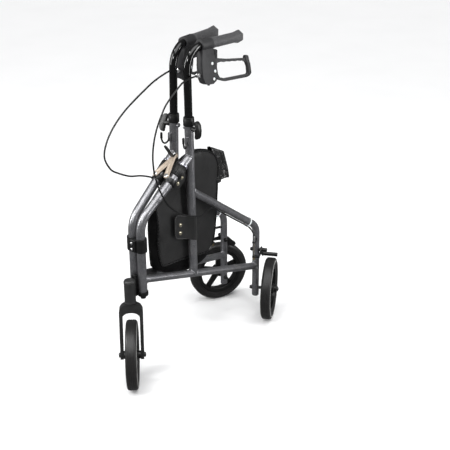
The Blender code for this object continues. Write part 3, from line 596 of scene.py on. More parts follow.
def weld_bead(branch_start, branch_end, branch_radius, main_start, main_end, main_radius, bead=0.0019):
    """A rippled weld around a branch tube where it meets the main tube's side."""
    p, d = Vector(branch_start), (Vector(branch_end) - Vector(branch_start)).normalized()
    q, m = Vector(main_start), (Vector(main_end) - Vector(main_start)).normalized()
    u = d.orthogonal().normalized()
    v = d.cross(u)
    points = []
    for i in range(48):
        angle = math.tau * i / 48
        base = p + branch_radius * (math.cos(angle) * u + math.sin(angle) * v)
        w, dm = base - q, d - d.dot(m) * m
        wm = w - w.dot(m) * m
        a, b, c = dm.dot(dm), 2 * dm.dot(wm), wm.dot(wm) - (main_radius + 0.0003) ** 2
        root = b * b - 4 * a * c
        along = (-b - math.sqrt(root)) / (2 * a) if root > 0 else -b / (2 * a)
        points.append(base + d * along)
    curve = bpy.data.curves.new("bead", "CURVE")
    curve.dimensions = "3D"
    curve.bevel_depth = bead
    curve.bevel_resolution = 3
    for i, place in enumerate(straight_spline(curve, points, True)):
        place.radius = 1.0 + 0.22 * (i % 2)
    made = baked_once(curve)
    made.shade_smooth()
    return made

# ------------------------------------------------------------------ frame tubes


def frame_tubes():
    foot, corner = Vector((0, 0, FRONT_FOOT_Z)), Vector((0, 0, FRONT_CORNER_Z))
    front = rounded_path([foot, corner, front_axis(COLUMN_REACH - 0.004)], FRONT_BEND)
    on_frame("front_tube_part", tube(front, MAIN_RADIUS), "frame_paint", "front_tube_{}")

    top, low = COLUMN_TOP_Z, rail_z(COLUMN_REACH)
    column = revolve([(MAIN_RADIUS, low + 0.003), (0.0116, low + 0.003), (0.0116, top - 0.0005),
                      (MAIN_RADIUS - 0.0006, top), (MAIN_RADIUS, top - 0.0008)],
                     Matrix.Translation((0, COLUMN_REACH, 0)))
    on_frame("handle_column_part", column, "frame_paint", "handle_column_{}", matrix=COLUMN)

    rail = [(0, reach, rail_z(reach)) for reach in (0.003, FRAME_LENGTH - 0.004)]
    on_frame("lower_rail_part", rod(*rail, RAIL_RADIUS), "frame_paint", "lower_rail_{}")

    start = (lean_x(REAR_START_Z), COLUMN_REACH + 0.004, rear_z(COLUMN_REACH + 0.004))
    corner, leg = (0, FRAME_LENGTH, REAR_CORNER_Z), (0, FRAME_LENGTH, LEG_FOOT_Z)
    rear = tube(rounded_path([start, corner, leg], REAR_BEND), RAIL_RADIUS)
    on_frame("rear_tube_part", rear, "frame_paint", "rear_tube_{}")

    column_line = [(lean_x(z), COLUMN_REACH, z) for z in (0.2, 0.8)]
    beads = [weld_bead(front[-3], front[-1], MAIN_RADIUS, *column_line, MAIN_RADIUS),
             weld_bead(corner, start, RAIL_RADIUS, *column_line, MAIN_RADIUS),
             weld_bead((0, 0.12, rail_z(0.12)), rail[0], RAIL_RADIUS, (0, 0, 0.2), (0, 0, 0.4),
                       MAIN_RADIUS),
             weld_bead((0, 0.36, rail_z(0.36)), rail[1], RAIL_RADIUS, (0, FRAME_LENGTH, 0.1),
                       (0, FRAME_LENGTH, 0.25), RAIL_RADIUS),
             weld_bead((0, COLUMN_REACH, 0.6), (0, COLUMN_REACH, 0.2), MAIN_RADIUS, *rail, RAIL_RADIUS)]
    on_frame("weld", joined(*beads), "frame_paint")

    plug = revolve([(0, LEG_FOOT_Z - 0.0022), (0.0095, LEG_FOOT_Z - 0.0020),
                    (0.0104, LEG_FOOT_Z - 0.0006), (0.0104, LEG_FOOT_Z + 0.001),
                    (0, LEG_FOOT_Z + 0.001)][::-1])
    on_frame("leg_plug", plug, "black_plastic", matrix=LEG)


# ------------------------------------------------------------------ head, fork, wheels


def head_and_fork():
    for node in ("lower_bracket", "upper_clamp"):
        refine(node, 0.0016, "black_plastic", 3)
    hub = Matrix.Translation((0, HEAD_Y, 0))
    body = revolve([(0.0083, 0.2512), (0.0160, 0.2512), (0.0165, 0.2520), (0.0165, 0.2555),
                    (0.0160, 0.2562), (0.0160, 0.3125), (0.0165, 0.3132), (0.0165, 0.3172),
                    (0.0160, 0.3178), (0.0083, 0.3178)][::-1], HEAD @ hub)
    piece("steering_head_part", body, "head", "black_plastic", "steering_head", finish="powder_black")
    cap = revolve([(0, 0.3238), (0.0085, 0.3236), (0.0128, 0.3226), (0.0152, 0.3208), (0.0163, 0.3188),
                   (0.0163, 0.3181), (0, 0.3181)], HEAD @ hub)
    piece("head_cap_part", cap, "head", "black_plastic", "head_cap", finish="powder_black")
    for name in ("clamp_screw_top", "clamp_screw_bottom"):
        low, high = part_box(name)
        centre = (low + high) / 2
        dome = revolve([(0, 0.0022), (0.0022, 0.0020), (0.0038, 0.0010), (0.0045, -0.0004),
                        (0.0045, -0.0018), (0, -0.0018)], turn(90, "X"), 32)
        socket = rod((0, -0.0026, 0), (0, -0.0010, 0), 0.0021, 6)
        piece(name + "_part", dome, "head", "steel", name, matrix=Matrix.Translation(centre))
        piece(name + "_socket", socket, "head", "black_plastic", matrix=Matrix.Translation(centre))
    for side in ("left", "right"):
        refine("hinge_pin_" + side, 0.0012, "black_plastic", 3)

    refine("fork", 0.0024, "gloss_black", 3, finish="powder_black")
    rivet = [(0, 0.0388), (0.0040, 0.0386), (0.0064, 0.0376), (0.0072, 0.0362), (0.0072, 0.0340)]
    axle = revolve(mirrored(rivet + [(0.0049, 0.0339)]),
                   Matrix.Translation((0, TRAIL, WHEEL_RADIUS)) @ ALONG_X, 40)
    piece("front_axle_part", axle, "fork", "steel", "front_axle", matrix=FORK, finish="powder_black")


def wheel_face():
    """Rim web, five spokes and hub as one pierced disc with soft edges."""
    windows = []
    for number in range(5):
        first, last = 72 * number, 72 * (number + 1)
        spoke_in, spoke_out = 0.0088, 0.0068
        inner, outer = 0.0195, 0.0655
        low = math.degrees(math.asin(spoke_in / inner)), math.degrees(math.asin(spoke_out / outer))
        loop = arc((0, 0), inner, 90 - first - low[0], 90 - last + low[0], 6)
        loop += arc((0, 0), outer, 90 - last + low[1], 90 - first - low[1], 16)
        windows.append(soft_loop(loop, 0.006, 5))
    disc = outline([arc((0, 0), 0.0730, 0, 357, 119), *windows], -0.0052, 0.0052)
    return edge_finish(disc, 0.0016, 3, 40)


def wheels():
    half = 0.0160
    tread = [(0.0778, half - 0.002), (0.0830, half + 0.0001), (0.0868, half + 0.0001),
             (0.0874, half - 0.0006), (0.0886, half - 0.0006), (0.0892, half), (0.0945, half - 0.0006),
             (0.0975, half - 0.0022), (0.0992, half - 0.0045)]
    grooves = []
    for centre in (0.0078, 0.0026, -0.0026, -0.0078):
        grooves += [(0.1000, centre + 0.0011), (0.0990, centre + 0.0007), (0.0990, centre - 0.0007),
                    (0.1000, centre - 0.0011)]
    profile = tread + grooves + [(r, -z) for r, z in tread[::-1]]
    tyre = revolve(profile, ALONG_X, 112, 26)
    rim = mirrored([(0.0645, 0.0110), (0.0655, 0.0122), (0.0700, 0.0128), (0.0745, 0.0134),
                    (0.0772, 0.0134)]) + [(0.0660, -0.0050), (0.0660, 0.0050)]
    hub = mirrored([(0.0064, 0.0245), (0.0105, 0.0245), (0.0115, 0.0238), (0.0118, 0.0170),
                    (0.0152, 0.0150), (0.0165, 0.0140)])
    moulding = joined(revolve(rim, ALONG_X, 112), revolve(hub, ALONG_X, 56), wheel_face())
    centre = FORK @ Matrix.Translation((0, TRAIL, WHEEL_RADIUS)) @ turn(14, "X")
    # A thin pale ring on one sidewall's shoulder only, a painted highlight for the tyre's lit edge; the
    # front wheel's ring is turned to the side where the light falls.
    ring = [(0.0925, half - 0.0004), (0.0922, half + 0.0003), (0.0905, half + 0.0004),
            (0.0893, half + 0.0003), (0.0890, half - 0.0010), (0.0925, half - 0.0010)]
    ring = revolve(ring, ALONG_X, 112)
    piece("front_tyre_part", tyre.copy(), "front_wheel", "tyre_rubber", "front_tyre", matrix=centre)
    piece("front_tyre_painted_highlight", ring.copy(), "front_wheel", "tyre_rubber", matrix=centre @ turn(180, "Z"),
          finish="painted_highlight_ring")
    piece("front_wheel_part", moulding.copy(), "front_wheel", "black_plastic", "front_wheel",
          matrix=centre)
    centre = LEG @ Matrix.Translation((REAR_WHEEL_OUT, 0, WHEEL_RADIUS))
    both("rear_tyre_part", tyre, "{}_rear_wheel", "tyre_rubber", "rear_tyre_{}", matrix=centre)
    both("rear_tyre_ring", ring, "{}_rear_wheel", "tyre_rubber", matrix=centre, finish="painted_highlight_ring")
    both("rear_wheel_part", moulding, "{}_rear_wheel", "black_plastic", "rear_wheel_{}", matrix=centre)

    end = REAR_WHEEL_OUT + 0.0245 + 0.0004
    bolt = [(0, 0.0757), (0.0030, 0.0755), (0.0046, 0.0745), (0.0046, end + 0.0025),
            (0.0080, end + 0.0022), (0.0082, end), (0.0049, end), (0.0049, -0.0118), (0.0070, -0.0118),
            (0.0068, -0.0140), (0.0056, -0.0142), (0.0056, -0.0178), (0.0040, -0.0187), (0, -0.0189)]
    on_frame("rear_axle_part", revolve(bolt, Matrix.Translation((0, 0, WHEEL_RADIUS)) @ ALONG_X, 40),
             "steel", "rear_axle_{}", matrix=LEG, finish="powder_black")
    nut = rod((end + 0.0005, 0, WHEEL_RADIUS), (end + 0.0040, 0, WHEEL_RADIUS), 0.0074, 6)
    on_frame("axle_nut", edge_finish(nut, 0.0004), "steel", matrix=LEG, finish="powder_black")


# ------------------------------------------------------------------ handles and brakes


def handles():
    place = Matrix.Translation((0, COLUMN_REACH, 0))
    collar = [(0.0117, 0.7388), (0.0135, 0.7388), (0.0148, 0.7380), (0.0152, 0.7362), (0.0152, 0.7330),
              (0.0157, 0.7322), (0.0157, 0.7150), (0.0153, 0.7142), (0.0132, 0.7142), (0.0132, 0.7298),
              (0.0117, 0.7298)]
    on_frame("collar_part", revolve(collar, place), "black_plastic", "collar_{}", matrix=COLUMN)
    path = rounded_path([(0, COLUMN_REACH, HANDLE_FOOT_Z), (0, COLUMN_REACH, HANDLE_Z),
                         (0, HANDLE_END, HANDLE_Z)], HANDLE_BEND, 18)
    both("handle_tube_part", tube(path, RAIL_RADIUS, 40), "{}_handle", "gloss_black", "handle_tube_{}",
         matrix=COLUMN)

    profile = [(0, 0.4097), (0.0060, 0.4095), (0.0128, 0.4084), (0.0160, 0.4062), (0.0174, 0.4030),
               (0.0174, 0.3985), (0.0166, 0.3925), (0.0154, 0.3860), (0.0147, 0.3790), (0.0145, 0.3600),
               (0.0145, 0.3180), (0.0147, 0.3050), (0.0152, 0.2975), (0.0159, 0.2935), (0.0159, 0.2905),
               (0.0156, 0.2893), (0.0118, 0.2893), (0.0118, 0.4015), (0, 0.4015)]
    grip = revolve(profile, Matrix.Translation((0, 0, HANDLE_Z)) @ ALONG_Y)
    for vertex in grip.vertices:
        x, y, z = vertex.co.x, vertex.co.y, vertex.co.z - HANDLE_Z
        share = min(1.0, max(0.0, (y - 0.372) / 0.020))
        angle = math.atan2(z, x)
        facet = math.cos(math.pi / 6) / math.cos((angle + math.pi / 6) % (math.pi / 3) - math.pi / 6)
        size = 1 + share * (facet * 1.06 - 1)
        dip = 0.0006 * math.sin((y - 0.30) * 300) * max(0.0, -math.sin(angle)) * (1 - share)
        if math.hypot(x, z) > 0.0125:
            vertex.co.x = x * (size - dip / 0.0145)
            vertex.co.z = HANDLE_Z + z * (size - dip / 0.0145)
    both("grip_part", grip, "{}_handle", "grip_rubber", "grip_{}", matrix=COLUMN)

    for side in ("left", "right"):
        housing = refine("brake_housing_" + side, 0.0020, "grip_rubber", 4, 40, finish="housing")
        place = BRAKE if side == "left" else FLIP @ BRAKE
        for vertex in housing.data.vertices:
            local = place.inverted() @ vertex.co
            waist = max(0.0, 1 - abs(local.z - 0.8990) / 0.014)
            waist *= min(1.0, max(0.0, (local.y - 0.270) / 0.018))
            local.y -= 0.0055 * waist
            vertex.co = place @ local
        refine("wing_knob_" + side, 0.0016, "black_plastic", 3)
    corners = [(-0.0065, 0.6590), (0.0065, 0.6590), (0.0065, 0.6840), (-0.0065, 0.6840)]
    plate = edge_finish(outline([soft_loop(corners, 0.0022)], -0.0166, -0.0130), 0.0005, 2)
    plate.transform(Matrix(((0, 1, 0, 0), (1, 0, 0, 0), (0, 0, 1, 0), (0, 0, 0, 1))))
    plate.flip_normals()
    on_frame("hook_plate", plate, "black_plastic", matrix=HOOK, finish="frame_paint")
    wire = smooth_path([(0, -0.0158, 0.6690), (0, -0.0208, 0.6605), (0, -0.0290, 0.6565),
                        (0, -0.0370, 0.6610), (0, -0.0408, 0.6710), (0, -0.0415, 0.6850)], 0.002)
    tip = revolve([(0, 0.0062), (0.0020, 0.0058), (0.0033, 0.0042), (0.0035, 0.0020), (0.0035, -0.0110),
                   (0, -0.0110)], Matrix.Translation(wire[-1]), 24)
    on_frame("hook_part", joined(tube(wire, 0.0026, 16), tip), "black_plastic", "hook_{}",
             matrix=HOOK)
    boss = revolve([(0, 0.0192), (0.0046, 0.0190), (0.0060, 0.0180), (0.0062, 0.0115), (0, 0.0115)],
                   Matrix.Translation((0, COLUMN_REACH, KNOB_Z)) @ turn(-90, "Y"), 28)
    on_frame("knob_boss", boss, "frame_paint", matrix=COLUMN)
    rivet = mirrored([(0, 0.0129), (0.0022, 0.0128), (0.0040, 0.0121), (0.0045, 0.0110)])
    washer = [(0.0045, 0.0121), (0.0062, 0.0119), (0.0066, 0.0112), (0.0045, 0.0112)]
    for number, (reach, height) in enumerate((LEVER_PIVOT, (0.2775, 0.8737), (0.2782, 0.8310))):
        spot = Matrix.Translation((0, reach, height)) @ ALONG_X
        nodes = ["lever_pin_{}"] if number == 0 else []
        both(f"housing_rivet_{number}", revolve(rivet, spot, 24), "{}_handle", "steel", *nodes,
             matrix=BRAKE, finish="white_nylon")
        rings = joined(revolve(washer, spot, 24), revolve([(r, -z) for r, z in washer], spot, 24))
        both(f"rivet_seat_{number}", rings, "{}_handle", "black_plastic", matrix=BRAKE)
    screw = revolve([(0, 0.0032), (0.0028, 0.0030), (0.0036, 0.0018), (0.0036, -0.006), (0, -0.006)],
                    Matrix.Translation((0, 0.2655, 0.8180)) @ turn(180, "X"), 24)
    both("housing_screw", screw, "{}_handle", "steel", matrix=BRAKE, finish="black_plastic")
    top = revolve([(0, 0.0014), (0.0026, 0.0013), (0.0034, 0.0004), (0.0034, -0.002), (0, -0.002)],
                  Matrix.Translation((0, 0.2690, HANDLE_Z + 0.0166)), 24)
    both("ring_screw", top, "{}_handle", "steel", matrix=BRAKE, finish="black_plastic")

    eye = arc(LEVER_PIVOT, 0.0085, 90, 270, 12)
    nub = arc((0.4234, 0.8640), 0.0066, 0, 180, 12)
    low_rim = [(0.2970, 0.8320), (0.3026, 0.8235), (0.3266, 0.8145), (0.4175, 0.8085), (0.4302, 0.8110),
               (0.4356, 0.8185), (0.4346, 0.8440), (0.4306, 0.8590)]
    top_rim = [(0.4132, 0.8640), (0.4048, 0.8652), (0.3500, 0.8733), (0.3050, 0.8832), (0.2975, 0.8832),
               (0.2930, 0.8732)]
    rim = eye + soft_loop(low_rim, 0.004)[2:-2] + nub + top_rim
    scallop = [(0.3090 + 0.0024 * i, 0.8704 - 0.000145 * i * 2.4 * 0.93
                + 0.0013 * abs(math.sin(math.pi * 2.4 * i / 22.0))) for i in range(41)]
    hole = [(0.3040, 0.8700), *scallop, (0.4198, 0.8510), (0.4248, 0.8390), (0.4238, 0.8220),
            (0.4175, 0.8175), (0.3266, 0.8230), (0.3080, 0.8295), (0.3030, 0.8395), (0.3015, 0.8590)]
    plate = edge_finish(outline([rim, hole, arc(LEVER_PIVOT, 0.0042, 0, 345, 23)], -0.0036, 0.0036),
                        0.0012, 3)
    pad = [(0.4238, 0.8150), (0.4311, 0.8125), (0.4356, 0.8185), (0.4343, 0.8440), (0.4306, 0.8590),
           *nub, (0.4180, 0.8560), (0.4242, 0.8390)]
    end = edge_finish(outline([pad], -0.0062, 0.0062), 0.0016, 3)
    both("brake_lever_part", joined(plate, end), "{}_lever", "black_plastic", "brake_lever_{}",
         matrix=BRAKE, finish="housing")


CABLE_LEFT = [(-0.0027, 0.2372, 0.8496), (0.002, 0.222, 0.8505), (0.008, 0.205, 0.8525),
              (0.013, 0.185, 0.8530), (0.020, 0.1528, 0.8500), (0.026, 0.1229, 0.8360),
              (0.028, 0.0936, 0.8160), (0.028, 0.0725, 0.7925), (0.028, 0.0440, 0.7400),
              (0.028, 0.0306, 0.6795), (0.028, 0.0368, 0.6160), (0.028, 0.0616, 0.5520),
              (0.028, 0.0936, 0.5076), (0.028, 0.1440, 0.4710), (0.028, 0.2047, 0.4494)]
CABLE_RIGHT = [(-0.0027, 0.2372, 0.8496), (0, 0.227, 0.8525), (0.003, 0.214, 0.8550),
               (0.0045, 0.200, 0.8558), (0.0045, 0.1486, 0.8486), (0.003, 0.0942, 0.8353),
               (0.001, -0.0110, 0.7973), (0, -0.0755, 0.7540), (0, -0.1011, 0.7060),
               (0.002, -0.0777, 0.6620), (0.006, -0.0408, 0.6368), (0.012, 0.0150, 0.6084),
               (0.018, 0.0735, 0.5885), (0.022, 0.1292, 0.5632), (0.024, 0.165, 0.5360),
               (0.024, 0.199, 0.5060)]
CABLE_TAIL = [(0.018, 0.242, 0.4520), (0.008, 0.272, 0.4470), (0.003, 0.3017, 0.4278),
              (0.003, 0.3517, 0.3914), (0.003, 0.4017, 0.3550), (0.005, 0.4290, 0.3350),
              (0.011, 0.4395, 0.3215), (0.0185, 0.4428, 0.3080), (0.0218, 0.4425, 0.2950),
              (0.0218, 0.4425, 0.2825)]


def cables():
    for side, route, flip in (("left", CABLE_LEFT, Matrix()), ("right", CABLE_RIGHT, FLIP)):
        line = smooth_path([FRAME @ Vector(point) for point in route + CABLE_TAIL], 0.005)
        cable = piece(f"brake_cable_{side}_part", tube(line, 0.0024, 14), None, "black_plastic",
                      f"brake_cable_{side}", matrix=flip)
        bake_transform(cable)
        out = (line[1] - line[0]).normalized()
        turned_to = aimed(out)
        barrel = [(0.0026, 0.0155), (0.0042, 0.0150), (0.0044, 0.0095), (0.0062, 0.0090),
                  (0.0065, 0.0035), (0.0060, 0.0024), (0.0040, 0.0018), (0.0040, -0.0030),
                  (0.0026, -0.0030)]
        adjuster = revolve(barrel[::-1], Matrix.Translation(line[0]) @ turned_to, 28)
        piece(f"cable_adjuster_{side}", adjuster, f"{side}_handle", "steel", matrix=flip,
              finish="bright_chrome")
        low = line[-1]
        sleeve = [(0.0025, 0.0180), (0.0032, 0.0176), (0.0036, 0.0040), (0.0036, 0.0006),
                  (0.0025, 0.0006)]
        piece(f"cable_ferrule_{side}", revolve(sleeve[::-1], Matrix.Translation(low), 24),
              f"{side}_frame", "steel", matrix=flip)


def straps():
    """The white ties that hold the cables to the rear tubes, and the bag's loop on the right rail."""
    rise = REAR_CORNER_Z - REAR_START_Z
    along = Vector((0, FRAME_LENGTH - COLUMN_REACH, rise)).normalized()
    square = Vector((0, -along.z, along.y))
    reach = 0.4370
    centre = Vector((0, reach, rear_z(reach)))
    loop = []
    for i in range(40):
        angle = math.tau * i / 40
        around = Vector((0.0124 * math.sin(angle), 0, 0)) + square * (0.0124 * math.cos(angle))
        loop.append(centre + around + square * 0.0046 * min(0.0, math.cos(angle)))
    strands = [tube([point + along * step for point in loop + [loop[0]]], 0.0011, 8)
               for step in (0, 0.0014, 0.0028)]
    on_frame("cable_tie", joined(*strands), "black_plastic", finish="white_nylon")
    down = math.degrees(math.atan2(RAIL_FRONT_Z - RAIL_REAR_Z, FRAME_LENGTH))
    strap = revolve([(0.0122, 0.0260), (0.0130, 0.0250), (0.0130, -0.0250), (0.0122, -0.0260),
                     (0.0113, -0.0260), (0.0113, 0.0260)], ALONG_Y, 48)
    strap_reach = 0.062
    place = FLIP @ FRAME @ Matrix.Translation((0, strap_reach, rail_z(strap_reach))) @ turn(-down, "X")
    piece("rail_strap", strap, "right_frame", "bag_vinyl", matrix=place)


def rear_brakes():
    for side in ("left", "right"):
        refine("brake_arm_" + side, 0.0009, "black_plastic", 2)
        refine("cable_stop_" + side, 0.0006, "black_plastic", 2)
    bolt = [(0, 0.0360), (0.0044, 0.0358), (0.0058, 0.0345), (0.0060, 0.0200), (0.0066, 0.0196),
            (0.0066, 0.0190), (0.0041, 0.0188), (0.0041, 0.0147), (0.0060, 0.0145), (0.0060, 0.0119),
            (0.0040, 0.0117), (0.0040, -0.0117), (0.0070, -0.0119), (0.0070, -0.0132),
            (0.0056, -0.0134), (0.0056, -0.0170), (0.0038, -0.0183), (0, -0.0185)]
    on_frame("brake_bolt_part",
             revolve(bolt, Matrix.Translation((0, 0, BRAKE_PIVOT_Z)) @ ALONG_X, 32), "black_plastic",
             "brake_bolt_{}", matrix=LEG)
    nipple = [(0, STOP_Z), (0.0009, STOP_Z), (0.0009, 0.2292), (0.0028, 0.2290), (0.0040, 0.2282),
              (0.0040, 0.2206), (0.0032, 0.2198), (0, 0.2197)]
    both("cable_end_part", revolve(nipple, Matrix.Translation((0, WIRE_Y, 0)), 24), "{}_brake", "brass",
         "cable_end_{}", matrix=LEG)


def along_slope(reach):
    """From axes at the sloping tube's centre, Z up the slope, to the frame's axes."""
    step = (front_axis(reach + 0.01) - front_axis(reach)).normalized()
    return Matrix.Translation(front_axis(reach)) @ aimed(step)


def ribbed(radius, inner, length, ribs, height):
    """A sleeve along Z with shallow lengthwise ribs."""
    count, work, rings = ribs * 6, bmesh.new(), []
    for z, swell in ((0, -0.0010), (0.0010, 0), (length - 0.0010, 0), (length, -0.0010), (length, None),
                     (0, None)):
        ring = []
        for i in range(count):
            angle = math.tau * i / count
            size = inner if swell is None else radius + swell + height * max(0.0, math.cos(ribs * angle))
            ring.append(work.verts.new((size * math.cos(angle), size * math.sin(angle), z)))
        rings.append(ring)
    for low, high in zip(rings, rings[1:] + rings[:1]):
        for i in range(count):
            work.faces.new((low[i], low[(i + 1) % count], high[(i + 1) % count], high[i]))
    bmesh.ops.recalc_face_normals(work, faces=work.faces)
    return from_bmesh(work, 50)


def links():
    for node in ("link_left", "link_right"):
        refine(node, 0.0007, "zinc", 2)
    refine("link_bolt", 0.0014, "steel", 3)
    refine("pull_lever", 0.0010, "black_plastic", 2)
    sleeve = ribbed(0.0154, 0.0133, 0.034, 22, 0.0010)
    on_frame("link_sleeve_part", sleeve, "black_plastic", "link_sleeve_{}",
             matrix=FRAME @ along_slope(0.137))
    clamp = [(0.0162, 0.0150), (0.0166, 0.0140), (0.0166, 0.0010), (0.0160, 0), (0.0133, 0),
             (0.0133, 0.0150)]
    on_frame("link_clamp", revolve(clamp, steps=48), "black_plastic",
             matrix=FRAME @ along_slope(0.113))
    band = [(0.0148, 0.0062), (0.0152, 0.0056), (0.0152, 0.0006), (0.0148, 0), (0.0128, 0),
            (0.0128, 0.0062)]
    on_frame("sleeve_band", revolve(band, steps=48), "steel", matrix=FRAME @ along_slope(0.1668),
             finish="patterned_steel")
    square = Vector((0, -math.sin(math.radians(FRONT_SLOPE)), math.cos(math.radians(FRONT_SLOPE))))
    facing = aimed(square)
    for side, layer, flip in (("left", LINK_LAYERS[1], Matrix()), ("right", LINK_LAYERS[0], FLIP)):
        head = layer + LINK_THICK
        profile = [(0, head + 0.0026), (0.0036, head + 0.0025), (0.0058, head + 0.0017),
                   (0.0064, head + 0.0006), (0.0064, head + 0.0003), (0.0030, head + 0.0003),
                   (0.0030, layer - 0.0003), (0.0072, layer - 0.0003), (0.0072, 0.0125), (0, 0.0125)]
        stud = revolve(profile, Matrix.Translation(front_axis(LINK_BASE)) @ facing, 36)
        piece(f"link_stud_{side}", stud, f"{side}_frame", "steel", matrix=flip @ FRAME)

# ------------------------------------------------------------------ bag


PANEL = [(0.0735, 0.470), (0.0728, 0.437), (0.0736, 0.390), (0.0765, 0.345), (0.0810, 0.326),
         (0.0930, 0.3185), (0.1335, 0.3145), (0.1829, 0.3075), (0.2300, 0.2985), (0.2700, 0.2900),
         (0.2908, 0.2895), (0.3079, 0.2985), (0.3179, 0.3197), (0.3255, 0.3438), (0.3307, 0.3886),
         (0.3336, 0.4468), (0.3400, 0.4829), (0.3457, 0.5232), (0.3455, 0.5517), (0.3345, 0.5802),
         (0.3120, 0.6000), (0.2810, 0.6120), (0.2504, 0.6170), (0.2050, 0.6110), (0.1650, 0.5900),
         (0.1150, 0.5530), (0.0810, 0.5240), (0.0742, 0.5050)]
OUTER = [(0.0620, 0.470), (0.0615, 0.437), (0.0615, 0.390), (0.0620, 0.345), (0.0640, 0.316),
         (0.0760, 0.299), (0.1200, 0.2715), (0.1860, 0.2490), (0.2300, 0.2440), (0.2750, 0.2470),
         (0.3050, 0.2610), (0.3250, 0.2800), (0.3350, 0.3050), (0.3430, 0.3500), (0.3490, 0.3950),
         (0.3540, 0.4450), (0.3620, 0.4900), (0.3670, 0.5250), (0.3630, 0.5600), (0.3470, 0.5900),
         (0.3170, 0.6090), (0.2820, 0.6215), (0.2504, 0.6265), (0.2020, 0.6215), (0.1620, 0.6000),
         (0.1120, 0.5620), (0.0720, 0.5330), (0.0630, 0.5090)]


FAR_AHEAD = 0.020
AHEAD_START, AHEAD_LENGTH, AHEAD_DROP = 0.06, 0.12, 0.2


def far_lead(reach):
    """How far ahead of the near panel the far panel stands at this reach."""
    return FAR_AHEAD * max(0.0, 1 - (reach - AHEAD_START) / AHEAD_LENGTH)


def half_thickness(reach, height):
    upper = max(0.0052, 0.0025 + 0.030 * (reach - 0.063))
    share = min(1.0, max(0.0, (height - 0.43) / 0.09))
    return 0.0125 + (upper - 0.0125) * share * share * (3 - 2 * share)


def closed_curve(points, count):
    """A smooth closed (y, z) curve through the points, in even steps of the index."""
    size, made = len(points), []
    for step in range(count):
        place = step * size / count
        i, t = int(place), place - int(place)
        a, b, c, d = (Vector(points[(i + k) % size]) for k in (-1, 0, 1, 2))
        made.append(0.5 * (2 * b + (c - a) * t + (2 * a - 5 * b + 4 * c - d) * t ** 2
                           + (3 * b - a - 3 * c + d) * t ** 3))
    return made


def within(loop, across, up):
    """Whether a (y, z) point lies inside a closed loop."""
    odd = False
    for a, b in zip(loop, loop[1:] + loop[:1]):
        if (a[1] > up) != (b[1] > up) and across < (b[0] - a[0]) * (up - a[1]) / (b[1] - a[1]) + a[0]:
            odd = not odd
    return odd


def inflated(mesh, voxel, cap, pressure):
    """Cloth under pressure, with each point's travel capped, then one subdivision."""
    holder = bpy.data.objects.new("soft", mesh)
    WORK.objects.link(holder)
    remesh = holder.modifiers.new("remesh", "REMESH")
    remesh.mode = "VOXEL"
    remesh.voxel_size = voxel
    mesh = baked(holder)
    holder.modifiers.clear()
    holder.data = mesh
    rest = [vertex.co.copy() for vertex in mesh.vertices]
    cloth = holder.modifiers.new("cloth", "CLOTH")
    cloth.settings.quality = 6
    cloth.settings.mass = 0.25
    cloth.settings.tension_stiffness = cloth.settings.compression_stiffness = 18
    cloth.settings.shear_stiffness = 8
    cloth.settings.bending_stiffness = 0.6
    cloth.settings.use_pressure = True
    cloth.settings.uniform_pressure_force = pressure
    cloth.settings.effector_weights.gravity = 0
    for number in range(1, 21):
        bpy.context.scene.frame_set(number)
    blown = baked(holder)
    holder.modifiers.clear()
    bpy.context.scene.frame_set(1)
    for vertex, start, moved in zip(mesh.vertices, rest, blown.vertices):
        travel = moved.co - start
        if travel.length > cap:
            travel *= cap / travel.length
        vertex.co = start + travel
    ease = holder.modifiers.new("ease", "SMOOTH")
    ease.factor, ease.iterations = 0.5, 3
    detail = holder.modifiers.new("detail", "SUBSURF")
    detail.levels = detail.render_levels = 1
    mesh = baked(holder)
    bpy.data.objects.remove(holder)
    mesh.shade_smooth()
    return mesh


def bag_pieces(name, mesh, *nodes, finish=None, second=None, first=0.0005, last=0.0060):
    """The two halves of a soft piece.  Each stretches from the head's plane to its own frame."""
    for side, keep in (("left", 1), ("right", -1)):
        work = bmesh.new()
        work.from_mesh(mesh)
        bmesh.ops.bisect_plane(work, geom=work.verts[:] + work.edges[:] + work.faces[:],
                               plane_co=(0, 0, 0),
                               plane_no=(-keep, 0, 0), clear_outer=True, dist=0.00001)
        half = bpy.data.meshes.new(name)
        work.to_mesh(half)
        work.free()
        half.shade_smooth()
        marks = [polygon.material_index for polygon in half.polygons]
        obj = piece(f"{name}_{side}", half, None, "bag_vinyl", *(nodes if keep > 0 else ()),
                    finish=finish)
        if second:
            half.materials.append(MATERIALS[second])
            for polygon, mark in zip(half.polygons, marks):
                polygon.material_index = mark
        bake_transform(obj)


def bag_shell():
    """Two flat side panels and the fuller gusset around them."""
    count = 168
    panel, outer = closed_curve(PANEL, count), closed_curve(OUTER, count)
    work = bmesh.new()
    rings = []
    for share, loop, inset in ((1.0, panel, 0.0), (0.62, outer, 0.25), (0.0, outer, 0.0),
                               (-0.62, outer, 0.25),
                               (-1.0, panel, 0.0)):
        ring = []
        for inner, point in zip(panel, loop):
            spot = point.lerp(inner, inset)
            ahead = max(0.0, -share) * far_lead(spot[0])
            ring.append(work.verts.new((share * half_thickness(*inner), spot[0] - ahead,
                                        spot[1] - AHEAD_DROP * ahead)))
        rings.append(ring)
    for one, two in zip(rings, rings[1:]):
        for i in range(count):
            j = (i + 1) % count
            work.faces.new((one[i], one[j], two[j], two[i]))
    for ring, sign in ((rings[0], 1), (rings[-1], -1)):
        centre = work.verts.new((sign * 0.0118, 0.205, 0.43))
        previous = ring
        for share in (0.85, 0.62, 0.35):
            inner = []
            for vertex in ring:
                y = 0.205 + (vertex.co.y - 0.205) * share
                z = 0.43 + (vertex.co.z - 0.43) * share
                inner.append(work.verts.new((sign * (half_thickness(y, z) - 0.0006), y, z)))
            for i in range(count):
                j = (i + 1) % count
                work.faces.new((previous[i], previous[j], inner[j], inner[i]))
            previous = inner
        for i in range(count):
            work.faces.new((previous[i], previous[(i + 1) % count], centre))
    bmesh.ops.recalc_face_normals(work, faces=work.faces)
    return from_bmesh(work, None)


